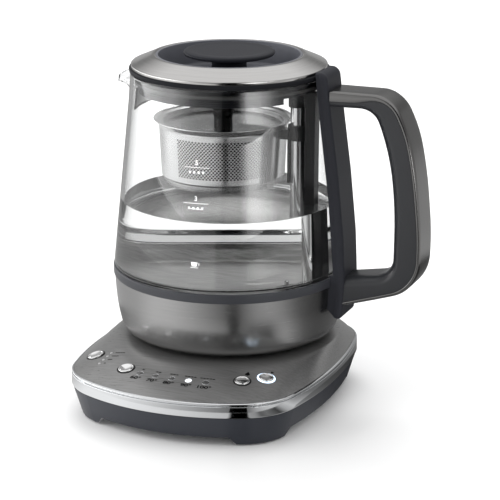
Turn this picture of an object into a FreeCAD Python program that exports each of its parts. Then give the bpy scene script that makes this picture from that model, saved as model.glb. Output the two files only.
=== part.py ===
import FreeCAD, Part
import math
import os
import re
import Sketcher

# Automatic tea maker: a glass jug with a lift-out tea basket on a power base.
# Millimetres, +Z up.  The origin is on the floor under the jug's axis, the
# controls face -Y, the handle points along +X and the spout along -X.

os.makedirs("parts", exist_ok=True)
doc = FreeCAD.newDocument("tea_maker")

# ---------------------------------------------------------------- dimensions

DIMENSIONS = {
    # power base: plan outline of eight tangent arcs, seen from above
    "base_half_width": 86.4, "base_half_depth": 102.3, "base_centre_y": -22.0,
    "corner_x": 39.0, "corner_y": 51.5, "corner_radius": 42.0,
    "foot_level": 1.2, "foot_inset": 6.6, "housing_top_inset": 0.5, "arch_top": 6.5, "floor_top": 8.7,
    "arch_half_x": 45.6, "arch_half_y": 56.0, "arch_slope": 6.0,
    "band_low": 21.1, "band_top": 31.5, "band_wall": 1.6, "housing_wall": 2.6,
    "deck_seat": 30.0, "deck_sheet": 1.5, "deck_top": 41.0, "dome_radius": 75.5, "dome_power": 1.6,
    "pad_radius": 6.2, "pad_x": 58.0, "pad_y": 69.0,
    # cover under the base, with the cord channel round its hub
    "cover_radius": 55.0, "cover_low": 4.7, "well_radius": 47.5, "well_top": 16.0,
    "hub_radius": 30.0, "hub_low": 1.5, "cover_wall": 1.8, "screw_circle": 51.3,
    # boards and controls
    "board_level": 20.0, "board_sheet": 1.6, "switch_top": 25.2, "post_radius": 3.0,
    "plunger_radius": 1.7, "switch_half": 3.0,
    "button_proud": 0.9, "button_skirt": 2.6, "button_gap": 0.3,
    "strength_x": -66.0, "strength_y": -77.0, "strength_radius": 5.5,
    "type_x": -34.6, "type_y": -95.0, "type_radius": 5.3,
    "water_x": 46.0, "water_y": -88.6, "water_radius": 5.0,
    "start_x": 58.6, "start_y": -77.9, "start_radius": 5.0,
    "window_radius": 2.2, "window_y": -100.7, "window_step": 11.8, "window_first_x": -22.5,
    "window_curve": 0.0028, "pill_radius": 1.2, "pill_x": -55.4, "pill_y": -74.6,
    "pill_step_x": 0.55, "pill_step_y": 5.0, "guide_length": 4.2, "guide_proud": 0.2,
    "gland_z": 15.5, "gland_bore": 3.6, "gland_wall": 1.9, "gland_flange": 3.0,
    "gland_seat": 5.7, "gland_length": 10.4,
    # plug-in connector between base and jug
    "tower_radius": 9.5, "tower_top": 50.5, "connector_radius": 19.0,
    "cap_radius": 4.2, "cap_top": 52.6,
    # jug: glass, collar and shell are turned about the jug's axis
    "glass_foot_radius": 75.6, "glass_foot": 79.0, "shoulder_low": 89.9,
    "shoulder_radius": 79.5, "shoulder_top": 91.0, "waist_radius": 67.9,
    "waist_level": 203.0, "mouth_radius": 66.4, "mouth_level": 222.9, "glass_wall": 2.6,
    "spout_root": 60.0, "spout_root_low": 190.0, "spout_root_half": 17.0,
    "spout_neck": 73.0, "spout_neck_low": 204.6, "spout_neck_half": 8.6, "spout_neck_top": 221.6,
    "spout_reach": 82.5, "spout_tip_low": 211.4, "spout_tip_half": 4.2, "spout_tip_top": 217.6,
    "spout_wall": 2.0,
    "filter_low": 195.0, "filter_top": 209.6, "filter_wall": 1.4, "filter_half_angle": 18.0,
    "collar_radius": 80.0, "collar_low": 83.7, "collar_top": 89.8, "collar_web": 77.0,
    "flange_low": 71.8, "floor_low": 74.0, "floor_level": 75.5,
    "shell_top_radius": 79.2, "shell_waist_radius": 77.3, "shell_waist": 60.5,
    "shell_heel_radius": 75.0, "shell_heel": 50.0, "shell_low_radius": 66.0,
    "shell_low": 43.3, "shell_wall": 1.2, "shell_lip_radius": 62.0,
    "stand_low": 41.3, "stand_inner": 57.0, "underplate_top": 46.0,
    "plug_radius": 14.0, "plug_bore": 10.6, "plug_top": 60.0,
    "element_ring": 30.0, "element_tube": 3.8,
    "sensor_x": 39.4, "sensor_y": -11.0,
    # lift: a screw inside the pole moves a magnet, which carries the basket
    "pole_x": 49.3, "pole_radius": 4.9, "pole_bore": 4.0, "pole_top": 206.0,
    "motor_radius": 10.5, "motor_top": 66.0, "screw_radius": 1.5,
    "nut_low": 181.0, "nut_top": 190.0, "cap_low": 202.5, "pole_cap_top": 211.0,
    "rail_x": 55.8, "rail_depth": 6.6, "rail_half": 4.4, "rail_top": 213.0,
    # tea basket, carrier and basket lid
    "basket_x": -4.6, "rim_radius": 47.3, "rim_level": 191.2, "cup_radius": 43.6,
    "cup_level": 187.0, "cup_low_radius": 42.0, "cup_low": 152.5, "step_radius": 39.6,
    "basket_low": 147.0, "basket_wall": 0.9,
    "carrier_radius": 6.6, "carrier_bore": 4.98, "carrier_low": 180.0,
    "carrier_top": 190.2, "tail_low": 150.0, "post_half": 6.2,
    # lid
    "lid_edge_radius": 67.3, "lid_edge_low": 223.2, "lid_edge_top": 226.4,
    "skirt_radius": 61.5, "skirt_wall": 2.6, "skirt_low": 210.5, "lid_plate_low": 213.0,
    "lid_plate_top": 215.0, "cone_radius": 66.1, "cone_low": 228.7, "cone_top": 235.0,
    "bowl_radius": 49.3, "bowl_floor": 217.5, "cone_sheet": 1.0,
    "knob_radius": 30.9, "knob_top": 237.4, "knob_edge": 2.4, "knob_stem": 13.0,
    "seal_level": 217.4, "seal_reach": 1.8, "seal_half": 1.4,
    "notch_half": 9.0, "skirt_gap_half": 25.0,
    # handle, drawn in the XZ plane and made symmetric about y = 0
    "column_half": 15.0, "column_core_half": 14.3, "column_shell": 5.0, "grip_half": 13.0,
    "strap_sheet": 2.2,
}

sheet = doc.addObject("Spreadsheet::Sheet", "dims")
for row, (alias, size) in enumerate(DIMENSIONS.items(), start=1):
    sheet.set("A%d" % row, alias)
    sheet.set("B%d" % row, str(size))
    sheet.setAlias("B%d" % row, alias)
doc.recompute()

FUNCTIONS = ("sqrt", "tan", "cos", "sin")


def bound(text):
    """The text with each dimension's name turned into a reference to its cell."""
    def cell(match):
        word = match.group(0)
        return word if word in FUNCTIONS else "dims." + word
    return re.sub(r"[a-z_]{2,}", cell, str(text))


def size(text):
    """The value of an expression of dimensions."""
    found = sheet.evalExpression(bound(text))
    return float(getattr(found, "Value", found))


# ------------------------------------------------------------ model building

nodes = {}


def new_body(label):
    """An empty body that becomes the node of that name."""
    body = doc.addObject("PartDesign::Body", label)
    body.Label = label
    nodes[label] = body
    return body


def place(thing, x="0", y="0", z="0"):
    """Move a body or a primitive by expressions of dimensions."""
    for axis, text in zip("xyz", (x, y, z)):
        if text != "0":
            thing.setExpression("Placement.Base." + axis, bound(text))
    return thing


def origin_plane(body, role):
    for feature in body.Origin.OriginFeatures:
        if feature.Role == role:
            return feature
    raise ValueError(role)


def closed_sketch(body, role, points, offset="0"):
    """A sketch of straight edges, with every corner tied to the sheet."""
    sketch = body.newObject("Sketcher::SketchObject", body.Name + "_sketch")
    sketch.AttachmentSupport = [(origin_plane(body, role), "")]
    sketch.MapMode = "FlatFace"
    if offset != "0":
        sketch.setExpression("AttachmentOffset.Base.z", bound(offset))
    corners = [(size(x), size(y)) for x, y in points]
    count = len(points)
    for i in range(count):
        start = FreeCAD.Vector(*corners[i], 0)
        end = FreeCAD.Vector(*corners[(i + 1) % count], 0)
        sketch.addGeometry(Part.LineSegment(start, end), False)
    for i in range(count):
        sketch.addConstraint(Sketcher.Constraint("Coincident", i, 2, (i + 1) % count, 1))
    for i, (x, y) in enumerate(points):
        for kind, text, value, line in (("DistanceX", x, corners[i][0], -2),
                                        ("DistanceY", y, corners[i][1], -1)):
            if abs(value) < 1e-9:
                sketch.addConstraint(Sketcher.Constraint("PointOnObject", i, 1, line))
                continue
            index = sketch.addConstraint(Sketcher.Constraint(kind, -1, 1, i, 1, value))
            sketch.setExpression("Constraints[%d]" % index, bound(text))
    return sketch


def turn(body, points, kind="PartDesign::Revolution", angle=360.0):
    """Turn a closed outline of (radius, height) corners about the body's Z axis."""
    sketch = closed_sketch(body, "XZ_Plane", points)
    feature = body.newObject(kind, body.Name + "_turned")
    feature.Profile = sketch
    feature.ReferenceAxis = (sketch, ["V_Axis"])
    feature.Angle = angle
    feature.Midplane = angle < 360.0
    body.Tip = feature
    return feature


def turned(label, points, x="0", y="0", angle=360.0):
    """A node that is one turned solid."""
    body = new_body(label)
    turn(body, points, angle=angle)
    place(body, x, y)
    return body


def bored(body, holes):
    """Round holes through a plate along Z, each (x, y, radius)."""
    doc.recompute()
    sketch = body.newObject("Sketcher::SketchObject", body.Name + "_holes")
    sketch.AttachmentSupport = [(origin_plane(body, "XY_Plane"), "")]
    sketch.MapMode = "FlatFace"
    for i, (x, y, radius) in enumerate(holes):
        centre = FreeCAD.Vector(size(x), size(y), 0)
        sketch.addGeometry(Part.Circle(centre, FreeCAD.Vector(0, 0, 1), size(radius)), False)
        kinds = [("DistanceX", x, centre.x, -2), ("DistanceY", y, centre.y, -1)]
        for kind, text, value, line in kinds:
            if abs(value) < 1e-9:
                sketch.addConstraint(Sketcher.Constraint("PointOnObject", i, 3, line))
                continue
            index = sketch.addConstraint(Sketcher.Constraint(kind, -1, 1, i, 3, value))
            sketch.setExpression("Constraints[%d]" % index, bound(text))
        index = sketch.addConstraint(Sketcher.Constraint("Radius", i, size(radius)))
        sketch.setExpression("Constraints[%d]" % index, bound(radius))
    pocket = body.newObject("PartDesign::Pocket", body.Name + "_bored")
    pocket.Profile = sketch
    pocket.Type = "ThroughAll"
    pocket.Midplane = True
    body.Tip = pocket
    return pocket


def cylinder(name, radius, low, high, x="0", y="0"):
    thing = doc.addObject("Part::Cylinder", name)
    thing.setExpression("Radius", bound(radius))
    thing.setExpression("Height", bound("(%s) - (%s)" % (high, low)))
    return place(thing, x, y, low)


def block(name, low, high):
    """A box between two corners, each three expressions."""
    thing = doc.addObject("Part::Box", name)
    for side, a, b in zip(("Length", "Width", "Height"), low, high):
        thing.setExpression(side, bound("(%s) - (%s)" % (b, a)))
    return place(thing, *low)


def join(name, things):
    fuse = doc.addObject("Part::MultiFuse", name)
    fuse.Shapes = things
    return fuse


def cut(name, base, tools):
    """The base with every tool taken away."""
    tool = tools[0] if len(tools) == 1 else join(name + "_tools", tools)
    result = doc.addObject("Part::Cut", name)
    result.Base = base
    result.Tool = tool
    return result


def node(label, thing):
    """Keep a document object as the node of that name."""
    thing.Label = label
    nodes[label] = thing
    return thing


def group(label, things):
    """Separate solids that share one node."""
    compound = doc.addObject("Part::Compound", label + "_group")
    compound.Links = things
    return node(label, compound)


def shaped(label, shape):
    """A node whose shape comes from Part's own functions."""
    feature = doc.addObject("Part::Feature", label)
    feature.Shape = shape
    return node(label, feature)


# ------------------------------------------------- plan outline of the base

def side_radius(half, centre_along, centre_across, corner):
    """Radius of a side's arc that meets both corner arcs tangentially."""
    reach = half - centre_along
    return (reach**2 + centre_across**2 - corner**2) / (2 * (reach - corner))


def outline_points(inset):
    """Start, middle and end of the eight arcs, anticlockwise from the right side."""
    corner = size("corner_radius") - inset
    cx, cy = size("corner_x"), size("corner_y")
    half_x = size("base_half_width") - inset
    half_y = size("base_half_depth") - inset
    right = side_radius(half_x, cx, cy, corner)
    back = side_radius(half_y, cy, cx, corner)
    lift = math.atan2(cy, cx - (half_x - right))
    lean = math.atan2(cy - (half_y - back), cx)

    def side(angle):
        return (half_x - right + right * math.cos(angle), right * math.sin(angle))

    def rear(angle):
        return (back * math.cos(angle), half_y - back + back * math.sin(angle))

    def bend(angle):
        return (cx + corner * math.cos(angle), cy + corner * math.sin(angle))

    quarter = [(side(0), side(lift / 2), side(lift)),
               (side(lift), bend((lift + lean) / 2), rear(lean)),
               (rear(lean), rear((lean + math.pi / 2) / 2), rear(math.pi / 2))]
    halves = quarter + [tuple((-x, y) for x, y in reversed(arc)) for arc in reversed(quarter)]
    return halves + [tuple((x, -y) for x, y in reversed(arc)) for arc in reversed(halves)]


def plan_wire(inset, z):
    """The base's outline at a height."""
    shift = FreeCAD.Vector(0, size("base_centre_y"), z)
    arcs = []
    for arc in outline_points(inset):
        arcs.append(Part.Arc(*[FreeCAD.Vector(x, y, 0) + shift for x, y in arc]).toShape())
    return Part.Wire(arcs)


def plan_solid(low_inset, low, high_inset, high):
    """A straight-sided loft of the outline between two heights."""
    return Part.makeLoft([plan_wire(low_inset, low), plan_wire(high_inset, high)], True, True)


CROWN_POINTS = 48
CROWN_SHARES = (0.0, 0.35, 0.7, 1.0)


def crown_line(inset, z, share):
    """Smooth closed line, a share of the way from the outline to the circle under the jug."""
    points = []
    for point in plan_wire(inset, 0.0).discretize(CROWN_POINTS + 1)[:-1]:
        seat = point * (size("dome_radius") / point.Length)
        level = point + (seat - point) * share
        points.append(FreeCAD.Vector(level.x, level.y, z))
    curve = Part.BSplineCurve()
    curve.interpolate(Points=points, PeriodicFlag=True)
    return Part.Wire(curve.toShape())


def dome(inset, drop, skirt):
    """The domed top on a short skirt: steep at the outline, level where the jug stands."""
    edge, top = size("band_top") - drop, size("deck_top") - drop
    lines = []
    for share in CROWN_SHARES:
        lines.append(crown_line(inset, top - (top - edge) * (1 - share) ** size("dome_power"), share))
    wall = Part.makeLoft([crown_line(inset, edge - skirt, 0.0), lines[0]], True, True)
    return Part.makeLoft(lines, True, False).fuse(wall)


# ------------------------------------------------------------- power base

def arch(along_x):
    """The gap under one pair of sides, with sloping ends, between the feet."""
    half = size("arch_half_x") if along_x else size("arch_half_y")
    low, top, run = -1.0, size("arch_top"), size("arch_slope")
    centre = 0.0 if along_x else size("base_centre_y")
    reach = 2 * size("base_half_depth")
    outline = [(-half - run, low), (half + run, low), (half, top), (-half, top)]
    if along_x:
        corners = [FreeCAD.Vector(u, -reach, z) for u, z in outline]
        way = FreeCAD.Vector(0, 2 * reach, 0)
    else:
        corners = [FreeCAD.Vector(-reach, u + centre, z) for u, z in outline]
        way = FreeCAD.Vector(2 * reach, 0, 0)
    return Part.Face(Part.makePolygon(corners + corners[:1])).extrude(way)


def upright(radius, low, high, x=0.0, y=0.0):
    return Part.makeCylinder(radius, high - low, FreeCAD.Vector(x, y, low))


BOARD_POSTS = ((-64, -69), (-36, -103), (36, -104), (56, -70),
               (-58, 30), (58, 30), (-40, 60), (40, 60))
FOOT_SIGNS = ((-1, -1), (1, -1), (-1, 1), (1, 1))


SCREW_PLACES = [("screw_circle * %.6f" % math.cos(math.radians(angle)),
                 "screw_circle * %.6f" % math.sin(math.radians(angle)))
                for angle in (45, 135, 225, 315)]


def foot_places():
    centre = size("base_centre_y")
    return [(sx * size("pad_x"), centre + sy * size("pad_y")) for sx, sy in FOOT_SIGNS]


def base_housing():
    """Dark moulded tray with four corner feet, bosses for the boards and a gland hole."""
    wall, step = size("housing_wall"), size("band_wall")
    foot, floor = size("foot_level"), size("floor_top")
    band, seat = size("band_low"), size("deck_seat")
    shape = plan_solid(size("foot_inset"), foot, size("housing_top_inset"), band)
    shape = shape.fuse(plan_solid(step + 0.1, band, step + 0.1, seat))
    inner_low = size("foot_inset") * (band - floor) / (band - foot) + wall
    shape = shape.cut(plan_solid(inner_low, floor, step + wall, seat + 0.01))
    shape = shape.cut(upright(size("well_radius") + 1.0, 0, floor + 1))
    for along_x in (True, False):
        shape = shape.cut(arch(along_x))
    for x, y in foot_places():
        shape = shape.cut(upright(size("pad_radius") + 0.05, 0, foot + 1.0, x, y))
    for x, y in BOARD_POSTS:
        shape = shape.fuse(upright(size("post_radius"), floor - 0.5, size("board_level"), x, y))
    back = size("base_centre_y") + size("base_half_depth")
    way, start = FreeCAD.Vector(0, 1, 0), FreeCAD.Vector(0, back - 14, size("gland_z"))
    bore = size("gland_bore")
    shape = shape.cut(Part.makeCylinder(bore + size("gland_wall"), 20, start, way))
    shape = shape.cut(Part.makeCylinder(bore + size("gland_flange") + 0.3, 14 - size("gland_seat"),
                                        start, way))
    for x, y in SCREW_PLACES:
        shape = shape.cut(upright(1.2, size("arch_top") - 1, floor + 1, size(x), size(y)))
    return shape.removeSplitter()


housing = shaped("base_housing", base_housing())

band_shape = plan_solid(0.0, size("band_low") + 0.1, 0.0, size("band_top"))
band_shape = band_shape.cut(plan_solid(size("band_wall"), size("band_low"), size("band_wall"), 40))
shaped("chrome_band", band_shape)

DECK_INSET = size("band_wall") + 0.1
crown = dome(DECK_INSET, 0.0, size("band_top") - size("deck_seat"))


def deck_height(x, y):
    """Height of the domed deck above a point of the plan."""
    line = Part.makeLine(FreeCAD.Vector(x, y, 0), FreeCAD.Vector(x, y, 80))
    return max(v.Z for v in line.common(crown).Vertexes)


def deck_normal(x, y):
    """Upward normal of the deck at a point of the plan."""
    step = 1.0
    slope_x = (deck_height(x + step, y) - deck_height(x - step, y)) / (2 * step)
    slope_y = (deck_height(x, y + step) - deck_height(x, y - step)) / (2 * step)
    normal = FreeCAD.Vector(-slope_x, -slope_y, 1)
    normal.normalize()
    return normal


BUTTONS = {"strength_button": "strength", "tea_type_button": "type",
           "hot_water_button": "water", "start_button": "start"}


def button_seat(stem):
    """Centre on the deck, outward normal and radius of a button."""
    x, y = size(stem + "_x"), size(stem + "_y")
    return FreeCAD.Vector(x, y, deck_height(x, y)), deck_normal(x, y), size(stem + "_radius")


def window_places():
    """Temperature windows: five in a row along the front."""
    for i in range(5):
        x = size("window_first_x") + i * size("window_step")
        yield x, size("window_y") + size("window_curve") * x ** 2


def pill_places():
    """Strength lights: four on a short slant beside the first button."""
    for i in range(4):
        yield size("pill_x") - size("pill_step_x") * i, size("pill_y") - size("pill_step_y") * i


def light_guide(x, y, radius):
    """A short round light guide standing a little proud of the deck."""
    normal = deck_normal(x, y)
    sunk = size("guide_length") - size("guide_proud")
    start = FreeCAD.Vector(x, y, deck_height(x, y)) - normal * sunk
    return Part.makeCylinder(radius, size("guide_length"), start, normal)


deck = crown.cut(dome(DECK_INSET + 1.6, size("deck_sheet"), 3.0))
deck = deck.cut(upright(size("connector_radius") - 2.6, 0, 60))
for stem in BUTTONS.values():
    centre, normal, radius = button_seat(stem)
    deck = deck.cut(Part.makeCylinder(radius + size("button_gap"), 12, centre - normal * 6, normal))
for x, y in window_places():
    deck = deck.cut(light_guide(x, y, size("window_radius") + 0.02))
for x, y in pill_places():
    deck = deck.cut(light_guide(x, y, size("pill_radius") + 0.02))
shaped("deck_plate", deck)

shaped("temperature_leds", Part.makeCompound([light_guide(x, y, size("window_radius"))
                                               for x, y in window_places()]))
shaped("strength_leds", Part.makeCompound([light_guide(x, y, size("pill_radius"))
                                            for x, y in pill_places()]))

group("foot_pads", [cylinder("foot_pad_%d" % i, "pad_radius", "0", "foot_level + 1",
                             str(x), str(y)) for i, (x, y) in enumerate(foot_places())])

# Turned cover: hub in the middle, channel for the spare cord, flange under the floor.
cover = turned("base_cover", [
    ("0", "hub_low"), ("hub_radius + 4", "hub_low"), ("hub_radius + 4", "hub_low + cover_wall"),
    ("hub_radius", "hub_low + cover_wall"), ("hub_radius", "well_top - cover_wall"),
    ("well_radius - cover_wall", "well_top - cover_wall"), ("well_radius - cover_wall", "cover_low"),
    ("cover_radius", "cover_low"), ("cover_radius", "arch_top"), ("well_radius", "arch_top"),
    ("well_radius", "well_top"), ("hub_radius - cover_wall", "well_top"),
    ("hub_radius - cover_wall", "hub_low + cover_wall"), ("0", "hub_low + cover_wall")])
bored(cover, [(x, y, "1.35") for x, y in SCREW_PLACES])


def gland_part():
    """Grommet in the rear wall with a through bore for the supply cord."""
    back = size("base_centre_y") + size("base_half_depth")
    bore = size("gland_bore")
    way = FreeCAD.Vector(0, 1, 0)
    seat = FreeCAD.Vector(0, back - size("gland_seat"), size("gland_z"))
    shape = Part.makeCylinder(bore + size("gland_wall"), size("gland_length"), seat - way * 6.6, way)
    shape = shape.fuse(Part.makeCylinder(bore + size("gland_flange"), 2.0, seat - way * 2.0, way))
    return shape.cut(Part.makeCylinder(bore, 20, seat - way * 10, way))


shaped("cord_gland", gland_part())


# Boards on the housing's posts.  The front one follows the row of controls.
def board(name, label, corners):
    body = new_body(label)
    sketch = closed_sketch(body, "XY_Plane", corners, "board_level")
    pad = body.newObject("PartDesign::Pad", name)
    pad.Profile = sketch
    pad.setExpression("Length", bound("board_sheet"))
    body.Tip = pad
    return body


board("control_board_pad", "control_board", [
    ("-72", "-66"), ("-72", "-82"), ("-50", "-100"), ("-36", "-108"), ("40", "-108"),
    ("60", "-94"), ("66", "-70"), ("52", "-66"), ("40", "-80"), ("-44", "-80"), ("-54", "-66")])
board("power_board_pad", "power_board", [
    ("-63", "24"), ("63", "24"), ("63", "36"), ("46", "66"), ("-46", "66"), ("-63", "36")])

relay = block("relay", ("-30", "34", "board_level + board_sheet"),
              ("-6", "54", "board_level + board_sheet + 12"))
capacitor = cylinder("capacitor", "6", "board_level + board_sheet",
                     "board_level + board_sheet + 11", "16", "44")
group("power_parts", [relay, capacitor])


def button_shape(stem):
    """Domed cap with a thin rim, and a plunger down to its switch."""
    centre, normal, radius = button_seat(stem)
    proud, skirt, plunger = size("button_proud"), size("button_skirt"), size("plunger_radius")
    profile = [(0, proud + 0.25), (radius * 0.72, proud), (radius * 0.86, proud - 0.35),
               (radius - 0.3, proud), (radius, proud - 0.3), (radius, -skirt), (plunger, -skirt)]
    drop = (centre.z - size("switch_top") - 0.1) / normal.z
    profile += [(plunger, -drop), (0, -drop)]
    points = [FreeCAD.Vector(r, 0, z) for r, z in profile]
    face = Part.Face(Part.makePolygon(points + points[:1]))
    shape = face.revolve(FreeCAD.Vector(), FreeCAD.Vector(0, 0, 1), 360)
    turn_to = FreeCAD.Rotation(FreeCAD.Vector(0, 0, 1), normal)
    shape.Placement = FreeCAD.Placement(centre, turn_to)
    return shape


switches = []
for label, stem in BUTTONS.items():
    shaped(label, button_shape(stem))
    centre, normal, radius = button_seat(stem)
    foot = centre - normal * ((centre.z - size("switch_top")) / normal.z)
    switches.append(block(
        stem + "_switch_case",
        ("%.3f - switch_half" % foot.x, "%.3f - switch_half" % foot.y, "board_level + board_sheet"),
        ("%.3f + switch_half" % foot.x, "%.3f + switch_half" % foot.y, "switch_top - 1.7")))
group("button_switches", switches)

# Connector: black tower with its flange on the deck, brass rings, and a cap that
# turns with the jug.
turned("base_connector", [
    ("0", "deck_seat - 4"), ("connector_radius - 2.8", "deck_seat - 4"),
    ("connector_radius - 2.8", "deck_top"), ("connector_radius", "deck_top"),
    ("connector_radius", "deck_top + 0.9"), ("tower_radius + 3", "deck_top + 1.6"),
    ("tower_radius", "deck_top + 1.6"), ("tower_radius", "tower_top"), ("2.1", "tower_top"),
    ("2.1", "tower_top - 6"), ("0", "tower_top - 6")])


def contact_ring(name, inner):
    outer = cylinder(name + "_outer", str(inner + 1.1), "tower_top", "tower_top + 0.4")
    hole = cylinder(name + "_hole", str(inner), "tower_top - 1", "tower_top + 1")
    return cut(name, outer, [hole])


group("contact_rings", [contact_ring("contact_ring_a", 5.0), contact_ring("contact_ring_b", 7.2)])
turned("connector_cap", [
    ("0", "tower_top - 5.5"), ("2.03", "tower_top - 5.5"), ("2.03", "tower_top + 0.4"),
    ("cap_radius", "tower_top + 0.4"), ("cap_radius", "cap_top - 0.8"),
    ("cap_radius - 0.8", "cap_top"), ("0", "cap_top")])

# ------------------------------------------------------------------- jug

glass = new_body("glass_jug")
turn(glass, [
    ("0", "glass_foot"), ("glass_foot_radius", "glass_foot"),
    ("glass_foot_radius", "shoulder_low"), ("shoulder_radius - 0.6", "shoulder_low"),
    ("shoulder_radius", "shoulder_top"), ("waist_radius", "waist_level"),
    ("mouth_radius", "mouth_level"), ("0", "mouth_level")])


def spout_section(reach, half, low, top):
    """A U-shaped section across the spout, with a round bottom."""
    sketch = glass.newObject("Sketcher::SketchObject", "spout_section")
    sketch.AttachmentSupport = [(origin_plane(glass, "YZ_Plane"), "")]
    sketch.MapMode = "FlatFace"
    sketch.setExpression("AttachmentOffset.Base.z", bound("-(%s)" % reach))
    width, centre, rim = size(half), size(low) + size(half), size(top)
    sketch.addGeometry(Part.LineSegment(FreeCAD.Vector(width, rim, 0), FreeCAD.Vector(-width, rim, 0)))
    sketch.addGeometry(Part.LineSegment(FreeCAD.Vector(-width, rim, 0), FreeCAD.Vector(-width, centre, 0)))
    bottom = Part.Circle(FreeCAD.Vector(0, centre, 0), FreeCAD.Vector(0, 0, 1), width)
    sketch.addGeometry(Part.ArcOfCircle(bottom, math.pi, 2 * math.pi))
    sketch.addGeometry(Part.LineSegment(FreeCAD.Vector(width, centre, 0), FreeCAD.Vector(width, rim, 0)))
    for first, end, second, start in ((0, 2, 1, 1), (1, 2, 2, 1), (2, 2, 3, 1), (3, 2, 0, 1)):
        sketch.addConstraint(Sketcher.Constraint("Coincident", first, end, second, start))
    sketch.addConstraint(Sketcher.Constraint("Horizontal", 0))
    sketch.addConstraint(Sketcher.Constraint("Vertical", 1))
    sketch.addConstraint(Sketcher.Constraint("PointOnObject", 2, 3, -2))
    for kind, place_of, value, text in (("DistanceY", (2, 3), centre, "(%s) + %s" % (low, half)),
                                        ("DistanceY", (0, 1), rim, top)):
        index = sketch.addConstraint(Sketcher.Constraint(kind, -1, 1, *place_of, value))
        sketch.setExpression("Constraints[%d]" % index, bound(text))
    index = sketch.addConstraint(Sketcher.Constraint("Radius", 2, width))
    sketch.setExpression("Constraints[%d]" % index, bound(half))
    sketch.addConstraint(Sketcher.Constraint("Vertical", 3))
    sketch.addConstraint(Sketcher.Constraint("Horizontal", 2, 1, 2, 3))
    sketch.addConstraint(Sketcher.Constraint("Horizontal", 2, 2, 2, 3))
    return sketch


def spout(name, kind, sections):
    """A lip drawn out of the wall, lofted through U-shaped sections."""
    sketches = [spout_section(*section) for section in sections]
    doc.recompute()
    loft = glass.newObject(kind, name)
    loft.Profile = sketches[0]
    loft.Sections = sketches[1:]
    glass.Tip = loft


spout("spout_lip", "PartDesign::AdditiveLoft", [
    ("spout_root", "spout_root_half", "spout_root_low", "mouth_level"),
    ("spout_neck", "spout_neck_half", "spout_neck_low", "spout_neck_top"),
    ("spout_reach", "spout_tip_half", "spout_tip_low", "spout_tip_top")])
turn(glass, [
    ("0", "glass_foot - 1"), ("glass_foot_radius - glass_wall", "glass_foot - 1"),
    ("glass_foot_radius - glass_wall", "shoulder_low + 0.8"),
    ("shoulder_radius - glass_wall", "shoulder_top + 1.4"),
    ("waist_radius - glass_wall", "waist_level"),
    ("mouth_radius - glass_wall", "mouth_level"),
    ("mouth_radius - glass_wall", "mouth_level + 1"), ("0", "mouth_level + 1")],
    kind="PartDesign::Groove")
spout("spout_channel", "PartDesign::SubtractiveLoft", [
    ("spout_root", "spout_root_half - spout_wall", "spout_root_low + 1.6 * spout_wall", "mouth_level + 1"),
    ("spout_neck", "spout_neck_half - spout_wall", "spout_neck_low + 1.3 * spout_wall", "mouth_level + 1"),
    ("spout_reach + 1", "spout_tip_half - spout_wall / 1.3", "spout_tip_low + 1.1 * spout_wall",
     "mouth_level + 1")])

turned("jug_collar", [
    ("glass_foot_radius - 5.6", "flange_low"), ("collar_web", "flange_low"),
    ("collar_web", "collar_low"), ("collar_radius - 0.6", "collar_low"),
    ("collar_radius", "collar_low + 0.6"), ("collar_radius", "collar_top - 0.6"),
    ("collar_radius - 0.6", "collar_top"), ("glass_foot_radius + 0.02", "collar_top"),
    ("glass_foot_radius + 0.02", "floor_low"), ("glass_foot_radius - 5.6", "floor_low")])
turned("jug_shell", [
    ("shell_lip_radius", "shell_low"), ("shell_low_radius", "shell_low"),
    ("shell_low_radius + 5", "shell_low + 1.3"), ("shell_heel_radius - 1.4", "shell_low + 3.6"),
    ("shell_heel_radius", "shell_heel"), ("shell_waist_radius", "shell_waist"),
    ("shell_top_radius - 0.6", "(shell_waist + collar_low) / 2"),
    ("shell_top_radius", "collar_low"), ("shell_top_radius - shell_wall", "collar_low"),
    ("shell_top_radius - 0.6 - shell_wall", "(shell_waist + collar_low) / 2"),
    ("shell_waist_radius - shell_wall", "shell_waist"),
    ("shell_heel_radius - shell_wall", "shell_heel"),
    ("shell_heel_radius - 2.4", "shell_low + 4.4"),
    ("shell_low_radius + 4.4", "shell_low + 2.4"),
    ("shell_low_radius - 0.4", "shell_low + shell_wall"),
    ("shell_lip_radius", "shell_low + shell_wall")])
turned("floor_seal", [
    ("glass_foot_radius - 4.2", "floor_level"), ("glass_foot_radius", "floor_level"),
    ("glass_foot_radius", "glass_foot"), ("glass_foot_radius - 4.2", "glass_foot")])

floor = new_body("heater_floor")
turn(floor, [("0", "floor_low"), ("glass_foot_radius", "floor_low"),
             ("glass_foot_radius", "floor_level"), ("0", "floor_level")])


bored(floor, [("pole_x", "0", "pole_radius + 0.02"), ("sensor_x", "sensor_y", "1.52")])

element = doc.addObject("Part::Torus", "element_ring_solid")
element.setExpression("Radius1", bound("element_ring"))
element.setExpression("Radius2", bound("element_tube"))
place(element, z="floor_low - element_tube")
node("heating_element", element)

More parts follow.
